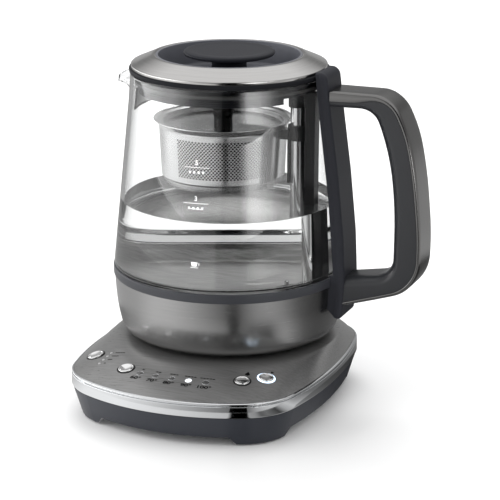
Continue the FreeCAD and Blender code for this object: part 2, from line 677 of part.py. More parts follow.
underplate = new_body("jug_underplate")
turn(underplate, [
    ("plug_radius + 0.02", "shell_low"), ("stand_inner", "shell_low"),
    ("stand_inner", "stand_low"), ("shell_lip_radius - 1", "stand_low"),
    ("shell_lip_radius - 0.05", "stand_low + 1"), ("shell_lip_radius - 0.05", "underplate_top"),
    ("plug_radius + 0.02", "underplate_top")])
turned("jug_plug", [
    ("plug_bore", "shell_low"), ("plug_radius", "shell_low"), ("plug_radius", "underplate_top"),
    ("plug_radius + 3", "underplate_top"), ("plug_radius + 3", "underplate_top + 2"),
    ("plug_radius", "underplate_top + 2"), ("plug_radius", "plug_top"), ("0", "plug_top"),
    ("0", "plug_top - 2"), ("plug_bore", "plug_top - 2")])
turned("temperature_sensor", [
    ("0", "floor_low - 4"), ("3.4", "floor_low - 4"), ("3.4", "floor_low"), ("1.5", "floor_low"),
    ("1.5", "floor_level"), ("3.2", "floor_level"), ("2.2", "floor_level + 3"),
    ("1.4", "floor_level + 3.4"), ("1.4", "floor_level + 9.4"), ("0", "floor_level + 10")],
    "sensor_x", "sensor_y")

# -------------------------------------------------------------- basket lift

turned("lift_motor", [
    ("0", "underplate_top"), ("motor_radius", "underplate_top"), ("motor_radius", "motor_top"),
    ("0", "motor_top")], "pole_x")
turned("guide_pole", [
    ("pole_bore", "motor_top"), ("pole_radius", "motor_top"), ("pole_radius", "pole_top - 0.5"),
    ("pole_radius - 0.5", "pole_top"), ("pole_bore", "pole_top")], "pole_x")
turned("pole_foot", [
    ("pole_radius + 0.02", "floor_level"), ("6.4", "floor_level"), ("6.4", "floor_level + 1.6"),
    ("5.9", "floor_level + 2"), ("5.9", "floor_level + 5.2"), ("pole_radius + 0.02", "floor_level + 5.8")],
    "pole_x")
turned("lift_screw", [
    ("0", "motor_top + 0.3"), ("screw_radius", "motor_top + 0.3"),
    ("screw_radius", "pole_top - 2"), ("0", "pole_top - 2")], "pole_x")
turned("magnet_nut", [
    ("screw_radius + 0.15", "nut_low"), ("pole_bore - 0.15", "nut_low"),
    ("pole_bore - 0.15", "nut_top"), ("screw_radius + 0.15", "nut_top")], "pole_x")

rail_back = block("rail_back", ("rail_x", "-rail_half", "floor_level"),
                  ("rail_x + rail_depth", "rail_half", "rail_top"))
rail_groove = block("rail_groove", ("rail_x - 1", "-2", "floor_level + 8"),
                    ("rail_x + 2.2", "2", "cap_low - 2"))
node("guide_rail", cut("guide_rail_cut", rail_back, [rail_groove]))

cap_outer = cylinder("cap_outer", "pole_radius + 1.3", "cap_low", "pole_cap_top", "pole_x")
cap_arm = block("cap_arm", ("pole_x", "-3.4", "cap_low + 1"), ("rail_x", "3.4", "pole_cap_top - 0.6"))
cap_socket = cylinder("cap_socket", "pole_radius + 0.02", "cap_low - 1", "pole_top", "pole_x")
node("pole_cap", cut("pole_cap_cut", join("pole_cap_solid", [cap_outer, cap_arm]), [cap_socket]))

# ------------------------------------------------------------------ basket

basket = new_body("tea_basket")
turn(basket, [
    ("0", "basket_low"), ("step_radius", "basket_low"), ("step_radius", "cup_low - 0.8"),
    ("cup_low_radius - 0.8", "cup_low - 0.8"), ("cup_low_radius", "cup_low"),
    ("cup_radius", "cup_level"), ("rim_radius", "rim_level"),
    ("rim_radius - 1.2", "rim_level"), ("cup_radius - basket_wall", "cup_level + 0.3"),
    ("cup_low_radius - basket_wall", "cup_low + 0.3"),
    ("step_radius - basket_wall", "cup_low + 0.1"),
    ("step_radius - basket_wall", "basket_low + basket_wall"), ("0", "basket_low + basket_wall")])
place(basket, "basket_x")

carrier_ring = cylinder("carrier_ring", "carrier_radius", "carrier_low", "carrier_top", "pole_x")
carrier_tail = block("carrier_tail", ("pole_x - carrier_radius", "-2.2", "tail_low"),
                     ("pole_x - carrier_bore", "2.2", "carrier_low + 1"))
carrier_block = block("carrier_block", ("pole_x - 11", "-3.6", "carrier_low"),
                      ("pole_x - carrier_bore", "3.6", "cup_level - 0.4"))
carrier_bore = cylinder("carrier_bore_tool", "carrier_bore", "tail_low - 1", "carrier_top + 1", "pole_x")
carrier_gap = block("carrier_gap", ("pole_x + 2", "-2.6", "carrier_low - 1"),
                    ("pole_x + 9", "2.6", "carrier_top + 1"))
magnet_seat = cylinder("magnet_seat", "1.52", "carrier_low + 1", "cup_level", "pole_x - 7.4")
cup_space = doc.addObject("Part::Cone", "cup_space")
cup_space.setExpression("Radius1", bound("cup_low_radius"))
cup_space.setExpression("Radius2", bound("cup_radius"))
cup_space.setExpression("Height", bound("cup_level - cup_low"))
place(cup_space, "basket_x", "0", "cup_low")
node("basket_carrier", cut("basket_carrier_cut",
                           join("carrier_solid", [carrier_ring, carrier_tail, carrier_block]),
                           [carrier_bore, carrier_gap, magnet_seat, cup_space]))
node("basket_magnet", cylinder("magnet_pin", "1.5", "carrier_low + 1", "cup_level - 0.6", "pole_x - 7.4"))

turned("basket_lid", [
    ("0", "cup_level - 2.4"), ("cup_radius - 2", "cup_level - 2.4"),
    ("cup_radius - 2", "cup_level + 1.8"), ("cup_radius + 0.9", "cup_level + 2.7"),
    ("cup_radius + 0.9", "cup_level + 3.4"), ("cup_radius - 3", "cup_level + 2.6"),
    ("cup_radius - 3", "cup_level - 1.4"), ("0", "cup_level - 1.4")], "basket_x")
turned("basket_lid_knob", [
    ("0", "cup_level - 1.4"), ("post_half", "cup_level - 1.4"), ("post_half", "cup_level + 4"),
    ("7.2", "cup_level + 6"), ("7.8", "cup_level + 9.2"), ("6.6", "cup_level + 10.4"),
    ("0", "cup_level + 10.4")], "basket_x")


def filter_panel():
    """Curved strainer frame that follows the jug's inner wall behind the spout."""
    slope = (size("shoulder_radius") - size("waist_radius")) / (size("waist_level") - size("shoulder_top"))
    inner = size("waist_radius") - size("glass_wall") - 0.15
    level = size("waist_level")
    low, high = size("filter_low"), size("filter_top")
    wall, half = size("filter_wall"), size("filter_half_angle")
    profile = [(inner + slope * (level - low), low), (inner + slope * (level - high), high),
               (inner + slope * (level - high) - wall, high), (inner + slope * (level - low) - wall, low)]
    points = [FreeCAD.Vector(-r, 0, z) for r, z in profile]
    face = Part.Face(Part.makePolygon(points + points[:1]))
    face.rotate(FreeCAD.Vector(), FreeCAD.Vector(0, 0, 1), -half)
    return face.revolve(FreeCAD.Vector(), FreeCAD.Vector(0, 0, 1), 2 * half)


shaped("spout_filter", filter_panel())

# --------------------------------------------------------------------- lid

lid_body = new_body("lid_body")
turn(lid_body, [
    ("2", "lid_plate_low"), ("skirt_radius - skirt_wall", "lid_plate_low"),
    ("skirt_radius - skirt_wall", "skirt_low"), ("skirt_radius", "skirt_low"),
    ("skirt_radius", "lid_edge_low"), ("lid_edge_radius - 0.8", "lid_edge_low"),
    ("lid_edge_radius", "lid_edge_low + 0.8"), ("lid_edge_radius", "lid_edge_top - 0.6"),
    ("lid_edge_radius - 0.6", "lid_edge_top"), ("bowl_radius + 4", "lid_edge_top"),
    ("bowl_radius + 4", "lid_plate_top"), ("2", "lid_plate_top")])
doc.recompute()
notch_sketch = closed_sketch(lid_body, "XY_Plane", [
    ("pole_x - notch_half", "-notch_half"), ("pole_x + 4", "-notch_half"),
    ("pole_x + 4", "-skirt_gap_half"), ("skirt_radius + 3", "-skirt_gap_half"),
    ("skirt_radius + 3", "skirt_gap_half"), ("pole_x + 4", "skirt_gap_half"),
    ("pole_x + 4", "notch_half"), ("pole_x - notch_half", "notch_half")],
    "skirt_low - 1")
notch = lid_body.newObject("PartDesign::Pocket", "lid_body_notch")
notch.Profile = notch_sketch
notch.Reversed = True
notch.setExpression("Length", bound("rail_top + 1.4 - skirt_low"))
lid_body.Tip = notch

turned("lid_bowl", [
    ("2", "lid_plate_top"), ("bowl_radius - 2.4", "lid_plate_top"),
    ("bowl_radius", "lid_plate_top + 2"), ("bowl_radius", "cone_top - 0.4"),
    ("bowl_radius - 1.6", "cone_top - 0.4"), ("bowl_radius - 1.6", "bowl_floor + 2"),
    ("bowl_radius - 3.4", "bowl_floor"), ("2", "bowl_floor")])
turned("lid_ring", [
    ("cone_radius - cone_sheet", "lid_edge_top"), ("cone_radius", "lid_edge_top"),
    ("cone_radius", "cone_low"), ("bowl_radius + 1.6", "cone_top"),
    ("bowl_radius + 0.02", "cone_top"), ("bowl_radius + 0.02", "cone_top - 2.4"),
    ("bowl_radius + cone_sheet", "cone_top - 2.4"), ("bowl_radius + cone_sheet", "cone_top - cone_sheet"),
    ("cone_radius - cone_sheet", "cone_low - cone_sheet")])
turned("lid_knob", [
    ("0", "bowl_floor + 7"), ("1.92", "bowl_floor + 7"), ("1.92", "bowl_floor"),
    ("knob_stem - 1", "bowl_floor"), ("knob_stem", "bowl_floor + 1"),
    ("knob_stem - 1.5", "knob_top - 9"), ("knob_stem + 1.5", "knob_top - knob_edge - 1.6"),
    ("knob_radius - 1", "knob_top - knob_edge"), ("knob_radius", "knob_top - knob_edge + 0.9"),
    ("knob_radius - 0.6", "knob_top - 0.4"), ("knob_radius - 2.4", "knob_top"),
    ("knob_radius - 8", "knob_top - 0.5"), ("0", "knob_top - 0.9")])
turned("lid_seal", [
    ("skirt_radius + 0.02", "seal_level - seal_half"),
    ("skirt_radius + seal_reach - 0.2", "seal_level - 1"), ("skirt_radius + seal_reach", "seal_level"),
    ("skirt_radius + seal_reach - 0.2", "seal_level + 1"),
    ("skirt_radius + 0.02", "seal_level + seal_half")])

# ------------------------------------------------------------------ handle

GRIP_LINE = ((66, 217.4, 0), (112.4, 217.4, 20), (122.8, 209.8, 23), (131.6, 191.8, 92),
             (137.4, 163.0, 290), (141.1, 122.0, 225), (140.2, 98.5, 27), (130.5, 84.6, 25),
             (112.0, 78.6, 120), (66, 64.5, 0))
HAND_HOLE = ((66, 208.2, 0), (107.5, 208.2, 13), (118.6, 180, 150), (122.9, 142, 280),
             (122.6, 100.6, 8), (70, 92.5, 0))
COLUMN_LINE = ((66.9, 229.2, 0), (74.3, 229.2, 6), (77.8, 200, 120), (83.2, 160, 120),
               (87.4, 118, 120), (88.8, 84, 40), (86.6, 61.5, 3), (83.6, 61.5, 0),
               (74, 71.5, 0), (74, 92.0, 0), (81.0, 92.0, 0), (77.0, 144.4, 0), (70.2, 198.7, 0))


def rounded_wire(points):
    """Closed line in the XZ plane; each corner is (x, z, radius)."""
    edges = []
    ends = []
    count = len(points)
    for i, (x, z, radius) in enumerate(points):
        here = FreeCAD.Vector(x, 0, z)
        before = FreeCAD.Vector(points[i - 1][0], 0, points[i - 1][1]) - here
        after = FreeCAD.Vector(points[(i + 1) % count][0], 0, points[(i + 1) % count][1]) - here
        half = before.getAngle(after) / 2
        reach = radius / math.tan(half)
        start, end = here + before.normalize() * reach, here + after.normalize() * reach
        ends.append((start, end))
        if radius:
            inward = (before + after).normalize()
            middle = here + inward * (radius / math.sin(half) - radius)
            edges.append((i, Part.Arc(start, middle, end).toShape()))
    arcs = dict(edges)
    line = []
    for i in range(count):
        if i in arcs:
            line.append(arcs[i])
        line.append(Part.makeLine(ends[i][1], ends[(i + 1) % count][0]))
    return Part.Wire(line)


def band_solid(wire, half):
    """The wire's area, made solid from -half to +half along Y."""
    face = Part.Face(wire)
    face.translate(FreeCAD.Vector(0, -half, 0))
    return face.extrude(FreeCAD.Vector(0, 2 * half, 0))


def long_edges(shape, half, keep):
    """Edges in the two flat sides whose middle passes a test."""
    found = []
    for edge in shape.Edges:
        middle = edge.valueAt((edge.FirstParameter + edge.LastParameter) / 2)
        flat = abs(abs(edge.BoundBox.YMin) - half) < 1e-3 and edge.BoundBox.YLength < 1e-3
        if flat and keep(middle):
            found.append(edge)
    return found


def on_line(wire):
    """A test of whether a point of a side face lies on a wire of the XZ plane."""
    def test(point):
        flat = Part.Vertex(FreeCAD.Vector(point.x, 0, point.z))
        return flat.distToShape(wire)[0] < 0.01
    return test


def jug_envelope(gap):
    """Everything inside the jug's outer surface, plus a gap."""
    profile = [(0, 40), (size("shell_waist_radius") + gap, 40),
               (size("shell_waist_radius") + gap, size("shell_waist")),
               (size("shell_top_radius") - 0.6 + gap, (size("shell_waist") + size("collar_low")) / 2),
               (size("shell_top_radius") + gap, size("collar_low")),
               (size("collar_radius") + gap, size("collar_low")),
               (size("collar_radius") + gap, size("collar_top") + 0.4),
               (size("shoulder_radius") + gap, size("shoulder_top")),
               (size("waist_radius") + gap, size("waist_level")),
               (size("mouth_radius") + gap, size("mouth_level")), (0, size("mouth_level"))]
    points = [FreeCAD.Vector(r, 0, z) for r, z in profile]
    face = Part.Face(Part.makePolygon(points + points[:1]))
    return face.revolve(FreeCAD.Vector(), FreeCAD.Vector(0, 0, 1), 360)


envelope = jug_envelope(0.02)
column = band_solid(rounded_wire(COLUMN_LINE), size("column_half"))
outer_rims = long_edges(column, size("column_half"),
                        lambda p: p.x > 71.5 + (229 - p.z) * 0.075 and p.z < 228)
column = column.makeFillet(3.2, outer_rims)
seam = [(x - size("column_shell"), z, 0) for x, z, radius in COLUMN_LINE[1:7]]
seam = [(60, 240, 0), (seam[0][0], 240, 0)] + seam + [(seam[-1][0], 50, 0), (60, 50, 0)]
for side in (-1, 1):
    relief = Part.Face(rounded_wire(seam))
    relief.translate(FreeCAD.Vector(0, side * size("column_core_half"), 0))
    column = column.cut(relief.extrude(FreeCAD.Vector(0, side * 2, 0)))
column = column.cut(envelope)
column = column.cut(upright(size("lid_edge_radius") + 0.7, 222.0, 240.0))
shaped("handle_column", column)

grip_half, sheet_gap = size("grip_half"), size("strap_sheet")
outer_line = rounded_wire(GRIP_LINE)
core_line = outer_line.makeOffset2D(-sheet_gap, 2)
grip = band_solid(core_line, grip_half)
hole_line = rounded_wire(HAND_HOLE)
grip = grip.cut(band_solid(hole_line, grip_half + 1))
column_block = band_solid(rounded_wire(COLUMN_LINE), 40).fuse(upright(77.0, 40, 240))
column_block = column_block.fuse(upright(83.5, 40, 94))
grip = grip.cut(column_block)
grip = max(grip.Solids, key=lambda s: s.Volume)
grip = grip.makeFillet(4.0, long_edges(grip, grip_half, on_line(hole_line)))
shaped("handle_grip", grip)

strap = band_solid(outer_line, grip_half).cut(band_solid(core_line, grip_half + 1))
strap = strap.cut(column_block)
strap = max(strap.Solids, key=lambda s: s.Volume)
strap = strap.makeFillet(0.8, long_edges(strap, grip_half, on_line(outer_line)))
shaped("handle_strap", strap)

bond = Part.makeBox(30, 11, 128, FreeCAD.Vector(60, -5.5, 92.5)).cut(envelope)
bond = bond.cut(band_solid(rounded_wire(COLUMN_LINE), 20))
shaped("column_bond", min(bond.Solids, key=lambda s: s.CenterOfMass.x))

# ------------------------------------------------------------------ screws


def screw(name, x, y, low, head_radius, head, shank_radius, length):
    """Pan-head screw pointing up, its head's underside at low + head."""
    return join(name, [
        cylinder(name + "_head", str(head_radius), low, "(%s) + %s" % (low, head), x, y),
        cylinder(name + "_shank", str(shank_radius), "(%s) + %s" % (low, head),
                 "(%s) + %s" % (low, head + length), x, y)])


group("cover_screws", [screw("cover_screw_%d" % i, x, y, "cover_low - 1.4", 2.4, 1.4, 1.15, 3.9)
                       for i, (x, y) in enumerate(SCREW_PLACES)])
node("knob_screw", screw("knob_screw_solid", "0", "0", "lid_plate_low - 1.8", 4.0, 1.8, 1.9, 10.0))

# ------------------------------------------------------------ check and write

doc.recompute()
for thing in doc.Objects:
    if "Invalid" in thing.State or "Error" in thing.State:
        raise RuntimeError("%s: %s" % (thing.Label, thing.State))
for label, thing in nodes.items():
    if thing.Shape.isNull() or not thing.Shape.isValid() or thing.Shape.Volume <= 0:
        raise RuntimeError("bad shape: " + label)
    thing.Shape.exportStep("parts/%s.step" % label)
    box = thing.Shape.BoundBox
    print("%-20s solids %d volume %9.1f  x %7.1f %7.1f  y %7.1f %7.1f  z %6.1f %6.1f" % (
        label, len(thing.Shape.Solids), thing.Shape.Volume, box.XMin, box.XMax,
        box.YMin, box.YMax, box.ZMin, box.ZMax))
for label, stem in BUTTONS.items():
    centre, normal, radius = button_seat(stem)
    print("%s centre %.2f %.2f %.2f normal %.4f %.4f %.4f" % (label, *centre, *normal))
print(len(nodes), "nodes")
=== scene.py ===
import math

import bmesh
import bpy
from mathutils import Matrix, Vector


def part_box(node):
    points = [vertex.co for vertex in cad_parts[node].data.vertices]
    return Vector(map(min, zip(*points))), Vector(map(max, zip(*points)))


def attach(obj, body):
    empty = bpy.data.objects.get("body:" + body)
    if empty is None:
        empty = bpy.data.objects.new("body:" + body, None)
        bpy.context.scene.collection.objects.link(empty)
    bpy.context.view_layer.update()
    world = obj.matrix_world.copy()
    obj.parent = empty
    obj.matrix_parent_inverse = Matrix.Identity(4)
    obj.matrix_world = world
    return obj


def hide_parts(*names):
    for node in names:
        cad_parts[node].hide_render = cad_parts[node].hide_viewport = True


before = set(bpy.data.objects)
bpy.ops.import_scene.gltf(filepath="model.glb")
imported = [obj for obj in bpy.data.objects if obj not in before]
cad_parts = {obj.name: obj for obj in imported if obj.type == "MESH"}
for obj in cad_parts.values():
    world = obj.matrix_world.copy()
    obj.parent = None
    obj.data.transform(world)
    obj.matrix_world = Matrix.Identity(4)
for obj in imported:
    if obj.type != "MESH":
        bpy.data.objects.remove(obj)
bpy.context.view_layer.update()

# ------------------------------------------------------------ base housing
# The moulded tray that carries the machine: dark slate polymer with a fine spark-eroded
# grain, drawn in towards four corner feet, with arches between them.

MM = 0.001


class Signal:
    """A value on its way through a node tree, open to plain arithmetic."""

    def __init__(self, tree, socket):
        self.tree = tree
        self.socket = socket

    def maths(self, operation, first, second):
        return self.tree.node("ShaderNodeMath", {"operation": operation}, {0: first, 1: second})

    def __add__(self, other):
        return self.maths("ADD", self, other)

    def __sub__(self, other):
        return self.maths("SUBTRACT", self, other)

    def __rsub__(self, other):
        return self.maths("SUBTRACT", other, self)

    def __mul__(self, other):
        return self.maths("MULTIPLY", self, other)

    def __gt__(self, other):
        return self.maths("GREATER_THAN", self, other)

    def __lt__(self, other):
        return self.maths("LESS_THAN", self, other)

    __radd__ = __add__
    __rmul__ = __mul__


def set_stops(elements, stops):
    """Give a ramp, which starts with two, its stops of (place, colour)."""
    for i, (place, colour) in enumerate(stops):
        stop = elements[i] if i < 2 else elements.new(place)
        stop.position = place
        stop.color = colour


class NodeTree:
    """The nodes of a material or of a world."""

    def __init__(self, owner):
        owner.use_nodes = True
        self.nodes = owner.node_tree.nodes
        self.links = owner.node_tree.links

    def feed(self, socket, value):
        """Give a socket a value or a pattern."""
        if isinstance(value, Signal):
            self.links.new(value.socket, socket)
        else:
            socket.default_value = value

    def node(self, kind, settings, inputs, output=0):
        """Add a node: its settings first, then the values or links of its sockets."""
        made = self.nodes.new(kind)
        for words, value in settings.items():
            if words == "stops":
                set_stops(made.color_ramp.elements, value)
            else:
                setattr(made, words, value)
        for socket, value in inputs.items():
            self.feed(made.inputs[socket], value)
        return Signal(self, made.outputs[output])


class Finish(NodeTree):
    """A material: constants on its shader, and patterns that change over its surface."""

    def __init__(self, name, **constants):
        self.material = bpy.data.materials.new(name)
        super().__init__(self.material)
        self.shader = self.nodes["Principled BSDF"]
        for words, value in constants.items():
            self.set(words.replace("_", " ").title().replace("Ior", "IOR"), value)

    def set(self, words, value):
        """Give the shader's socket of that name a value or a pattern."""
        self.feed(self.shader.inputs[words], value)

    def place(self, scale=(1, 1, 1)):
        """Object coordinates in metres, stretched."""
        here = self.node("ShaderNodeTexCoord", {}, {}, "Object")
        return self.node("ShaderNodeMapping", {}, {"Vector": here, "Scale": scale})

    def noise(self, vector, scale, detail, roughness):
        return self.node("ShaderNodeTexNoise", {}, {
            "Vector": vector, "Scale": scale, "Detail": detail, "Roughness": roughness})

    def blend(self, share, low, high):
        """A colour between two."""
        return self.node("ShaderNodeMix", {"data_type": "RGBA"}, {0: share, 6: low, 7: high}, 2)

    def bump(self, height, strength, distance):
        self.set("Normal", self.node("ShaderNodeBump", {}, {
            "Height": height, "Strength": strength, "Distance": distance}))


def shade(colour, factor):
    """A colour made lighter or darker."""
    return tuple(min(1.0, part * factor) for part in colour[:3]) + (1.0,)


def grey(value, warmth=0.0):
    """A near grey; warmth lifts red and lowers blue."""
    return (value * (1 + warmth), value, value * (1 - warmth), 1.0)


def moulded(name, colour, roughness, grain=0.12, grain_size=0.0005, **constants):
    """Moulded polymer: fine grain, and slow changes of gloss where it was handled."""
    constants.setdefault("specular_ior_level", 0.28)
    finish = Finish(name, **constants)
    here = finish.place()
    fine = finish.noise(here, 1 / grain_size, 3.0, 0.6)
    broad = finish.noise(here, 22.0, 3.0, 0.55)
    finish.set("Base Color", finish.blend(broad, shade(colour, 0.88), shade(colour, 1.12)))
    finish.set("Roughness", roughness + (broad - 0.5) * 0.12 + (fine - 0.5) * 0.08)
    finish.bump(fine, grain, 0.08 * MM)
    return finish


def dress(finish, *names):
    """Give pieces of the frame their finish."""
    for name in names:
        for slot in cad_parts[name].material_slots:
            slot.material = finish.material


dress(moulded("slate_polymer", (0.034, 0.037, 0.046), 0.42), "base_housing")

# --------------------------------------------------- pads, cover and gland
# Rubber pads under the feet, a moulded cover whose hub carries the spare cord, four
# zinc-plated screws that hold it, and the grommet in the rear wall.

dress(moulded("soft_rubber", grey(0.018), 0.75, 0.3, 0.0009), "foot_pads", "cord_gland")
dress(moulded("cover_polymer", grey(0.022), 0.55, 0.3, 0.0008), "base_cover")


def brushed(name, colour, roughness, stretch, depth=0.12, contrast=0.10):
    """Metal with a brushed grain: noise drawn out along the strokes."""
    finish = Finish(name, metallic=1.0)
    strokes = finish.noise(finish.place(stretch), 1.0, 4.0, 0.75)
    broad = finish.noise(finish.place(), 14.0, 2.0, 0.5)
    dark, light = shade(colour, 1 - contrast), shade(colour, 1 + contrast)
    finish.set("Base Color", finish.blend(strokes, dark, light))
    finish.set("Roughness", roughness + (strokes - 0.5) * 0.16 + (broad - 0.5) * 0.06)
    finish.bump(strokes, depth, 0.05 * MM)
    return finish


zinc = brushed("zinc_plate", grey(0.45), 0.35, (900, 900, 900))
dress(zinc, "cover_screws", "knob_screw")

# ---------------------------------------------------- boards inside the base
# Glass-fibre boards with solder mask over their copper tracks, the parts on them, and the
# switches under the buttons. Nothing of them shows once the deck is on.

MASK_GREEN = (0.01, 0.09, 0.03, 1.0)
board_mask = Finish("board_mask", roughness=0.4)
tracks = board_mask.node("ShaderNodeTexBrick", {}, {
    "Vector": board_mask.place(), "Scale": 120.0, "Mortar Size": 0.02}, "Fac")
board_mask.set("Base Color", board_mask.blend(tracks, MASK_GREEN, shade(MASK_GREEN, 1.8)))
dress(board_mask, "control_board", "power_board")
dress(moulded("part_case", (0.03, 0.04, 0.07), 0.5), "power_parts", "button_switches")

# --------------------------------------------------------------- base band
# A strip of polished stainless steel bent round the base, with a rolled lip along its
# top edge that holds the deck.

band_low, band_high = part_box("chrome_band")
BASE_Y = (band_low.y + band_high.y) / 2
HALF_X, HALF_Y = band_high.x, band_high.y - BASE_Y
CORNER_X, CORNER_Y, CORNER_RADIUS = 0.039, 0.0515, 0.042
DRUM = 0.2
ROUND_STEPS = 5


def side_radius(half, along, across, corner):
    """Radius of a side's arc that meets both corner arcs smoothly."""
    reach = half - along
    return (reach**2 + across**2 - corner**2) / (2 * (reach - corner))


def edge_distance(angle, inset):
    """From the jug's axis out to the base's edge, moved in by an inset."""
    way = Vector((math.cos(angle), math.sin(angle)))
    corner = CORNER_RADIUS - inset
    side = side_radius(HALF_X - inset, CORNER_X, CORNER_Y, corner)
    end = side_radius(HALF_Y - inset, CORNER_Y, CORNER_X, corner)
    side_x, end_y = HALF_X - inset - side, HALF_Y - inset - end

    def crossing(x, y, radius):
        centre = Vector((x, BASE_Y + y))
        along = way.dot(centre)
        return along + math.sqrt(radius**2 - centre.length_squared + along**2)

    near = min(crossing(side_x, 0, side), crossing(-side_x, 0, side),
               crossing(0, end_y, end), crossing(0, -end_y, end))
    x, y = way.x * near, way.y * near - BASE_Y
    past_side = math.atan2(abs(y), abs(x) - side_x) > math.atan2(CORNER_Y, CORNER_X - side_x)
    past_end = math.atan2(abs(y) - end_y, abs(x)) < math.atan2(CORNER_Y - end_y, CORNER_X)
    if past_side and past_end:
        return crossing(math.copysign(CORNER_X, x), math.copysign(CORNER_Y, y), corner)
    return near


def turned(corners, steps=160):
    """Turn an outline about the upright axis. A corner is (radius, height, setback) in
    millimetres; one with a setback is rounded, cut back that far along both its edges."""
    bm = bmesh.new()
    verts = [bm.verts.new((corner[0] * MM, 0, corner[1] * MM)) for corner in corners]
    pairs = list(zip(verts, verts[1:]))
    if corners[0][0] > 0:
        pairs.append((verts[-1], verts[0]))
    for pair in pairs:
        bm.edges.new(pair)
    for vert, corner in zip(verts, corners):
        if len(corner) == 3:
            bmesh.ops.bevel(bm, geom=[vert], offset=corner[2] * MM, offset_type="OFFSET",
                            segments=ROUND_STEPS, profile=0.5, affect="VERTICES", material=-1)
    bmesh.ops.spin(bm, geom=bm.verts[:] + bm.edges[:], cent=(0, 0, 0), axis=(0, 0, 1),
                   angle=2 * math.pi, steps=steps, use_merge=True)
    bmesh.ops.remove_doubles(bm, verts=bm.verts[:], dist=1e-7)
    bmesh.ops.recalc_face_normals(bm, faces=bm.faces[:])
    return bm


def out_of_round(bm, reach):
    """Push a turned piece out of round. Reach gives the radius that a point moves to, from
    its angle and the radius that it has."""
    for vert in bm.verts:
        radius = math.hypot(vert.co.x, vert.co.y)
        new_radius = reach(math.atan2(vert.co.y, vert.co.x), radius)
        vert.co.x *= new_radius / radius
        vert.co.y *= new_radius / radius
    return bm


def band_reach(angle, radius):
    """A depth under the drum's surface becomes a distance in from the base's edge."""
    return edge_distance(angle, DRUM - radius)


def placed(name, bm, finish):
    """Put a mesh in the scene, with its finish."""
    mesh = bpy.data.meshes.new(name)
    bm.to_mesh(mesh)
    bm.free()
    mesh.materials.append(finish.material)
    thing = bpy.data.objects.new(name, mesh)
    bpy.context.scene.collection.objects.link(thing)
    return thing


CREASE = 32


def piece(name, bm, finish, body, replaced=(), crease=CREASE):
    """Make a mesh a piece of the machine that moves with a body."""
    thing = placed(name, bm, finish)
    thing.data.shade_smooth()
    thing.data.set_sharp_from_angle(angle=math.radians(crease))
    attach(thing, body)
    if replaced:
        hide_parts(*replaced)
    return thing


def polished(name, colour, roughness=0.07):
    """Mirror-polished metal with faint wiping marks."""
    finish = Finish(name, metallic=1.0)
    marks = finish.noise(finish.place((60, 60, 500)), 1.0, 4.0, 0.6)
    finish.set("Base Color", finish.blend(marks, shade(colour, 0.97), shade(colour, 1.03)))
    finish.set("Roughness", roughness + (marks - 0.5) * 0.05)
    return finish


drum, low, top = DRUM / MM, band_low.z / MM, band_high.z / MM
band_profile = [
    (drum - 1.6, low), (drum - 0.5, low, 0.4), (drum, low + 0.7, 0.4), (drum, low + 7.9, 0.3),
    (drum - 1.0, low + 8.2, 0.1), (drum - 1.0, low + 8.8, 0.1), (drum - 0.1, low + 9.0, 0.3),
    (drum, top - 0.6, 0.4), (drum - 0.9, top, 0.4), (drum - 1.6, top)]
steel_mirror = polished("mirror_steel", grey(0.70, -0.015))
base_band = out_of_round(turned(band_profile, 360), band_reach)
piece("base_band", base_band, steel_mirror, "power_base", ["chrome_band"])

# -------------------------------------------------------------------- deck
# The domed top of the base, pressed from smoked stainless sheet and brushed from side to
# side: level where the jug stands and rolled down to the band all round.

deck_low, deck_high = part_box("deck_plate")
DECK_INSET = 0.0017
LEVEL_RADIUS = 0.0755
DOME_DROP = band_high.z - deck_high.z
DOME_POWER = 1.6
deck_top = deck_high.z / MM
edge_radius = (DRUM - DECK_INSET) / MM


def dome_height(share):
    """Height of the deck, a share of the way from the level part out to the edge."""
    return deck_top + DOME_DROP / MM * share**DOME_POWER


def deck_height(x, y):
    """Height of the deck above a point of the plan, in metres."""
    edge = edge_distance(math.atan2(y, x), DECK_INSET)
    share = max(0.0, (math.hypot(x, y) - LEVEL_RADIUS) / (edge - LEVEL_RADIUS))
    return dome_height(share) * MM


def deck_normal(x, y):
    """The deck's direction out, from its height a millimetre to either side."""
    rise_x = deck_height(x + MM, y) - deck_height(x - MM, y)
    rise_y = deck_height(x, y + MM) - deck_height(x, y - MM)
    return Vector((-rise_x, -rise_y, 2 * MM)).normalized()


def deck_reach(angle, radius):
    """The deck is round where it is level, and stretched from there to the base's edge."""
    if radius <= LEVEL_RADIUS:
        return radius
    share = (radius - LEVEL_RADIUS) / (span * MM)
    return LEVEL_RADIUS + (edge_distance(angle, DECK_INSET) - LEVEL_RADIUS) * share


DOME_STEPS, DECK_SHEET, FLANGE_LAP = 16, 1.5, 2.6
level = LEVEL_RADIUS / MM
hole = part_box("base_connector")[1].x / MM - FLANGE_LAP
span = edge_radius - level
shares = [step / DOME_STEPS for step in range(DOME_STEPS + 1)]
upper = [(level + span * share, dome_height(share)) for share in shares]
lower = [(radius - DECK_SHEET, height - DECK_SHEET) for radius, height in reversed(upper[:-1])]
deck_profile = [
    (hole, deck_top), (level * 0.5, deck_top), (level * 0.9, deck_top), *upper,
    (edge_radius, deck_low.z / MM), (edge_radius - DECK_SHEET, deck_low.z / MM),
    *lower, (hole, deck_top - DECK_SHEET)]

BUTTONS = {"strength_button": (-66.0, -77.0), "tea_type_button": (-34.6, -95.0),
           "hot_water_button": (46.0, -88.6), "start_button": (58.6, -77.9)}
BUTTON_GAP = 0.3


def stand(bm, x, y):
    """Stand a turned piece on the deck, square to it, at a place in millimetres."""
    x, y = x * MM, y * MM
    turn = Vector((0, 0, 1)).rotation_difference(deck_normal(x, y)).to_matrix().to_4x4()
    shift = Matrix.Translation((x, y, deck_height(x, y)))
    bmesh.ops.transform(bm, matrix=shift @ turn, verts=bm.verts[:])
    return bm


TILT_ALLOWANCE = 0.985


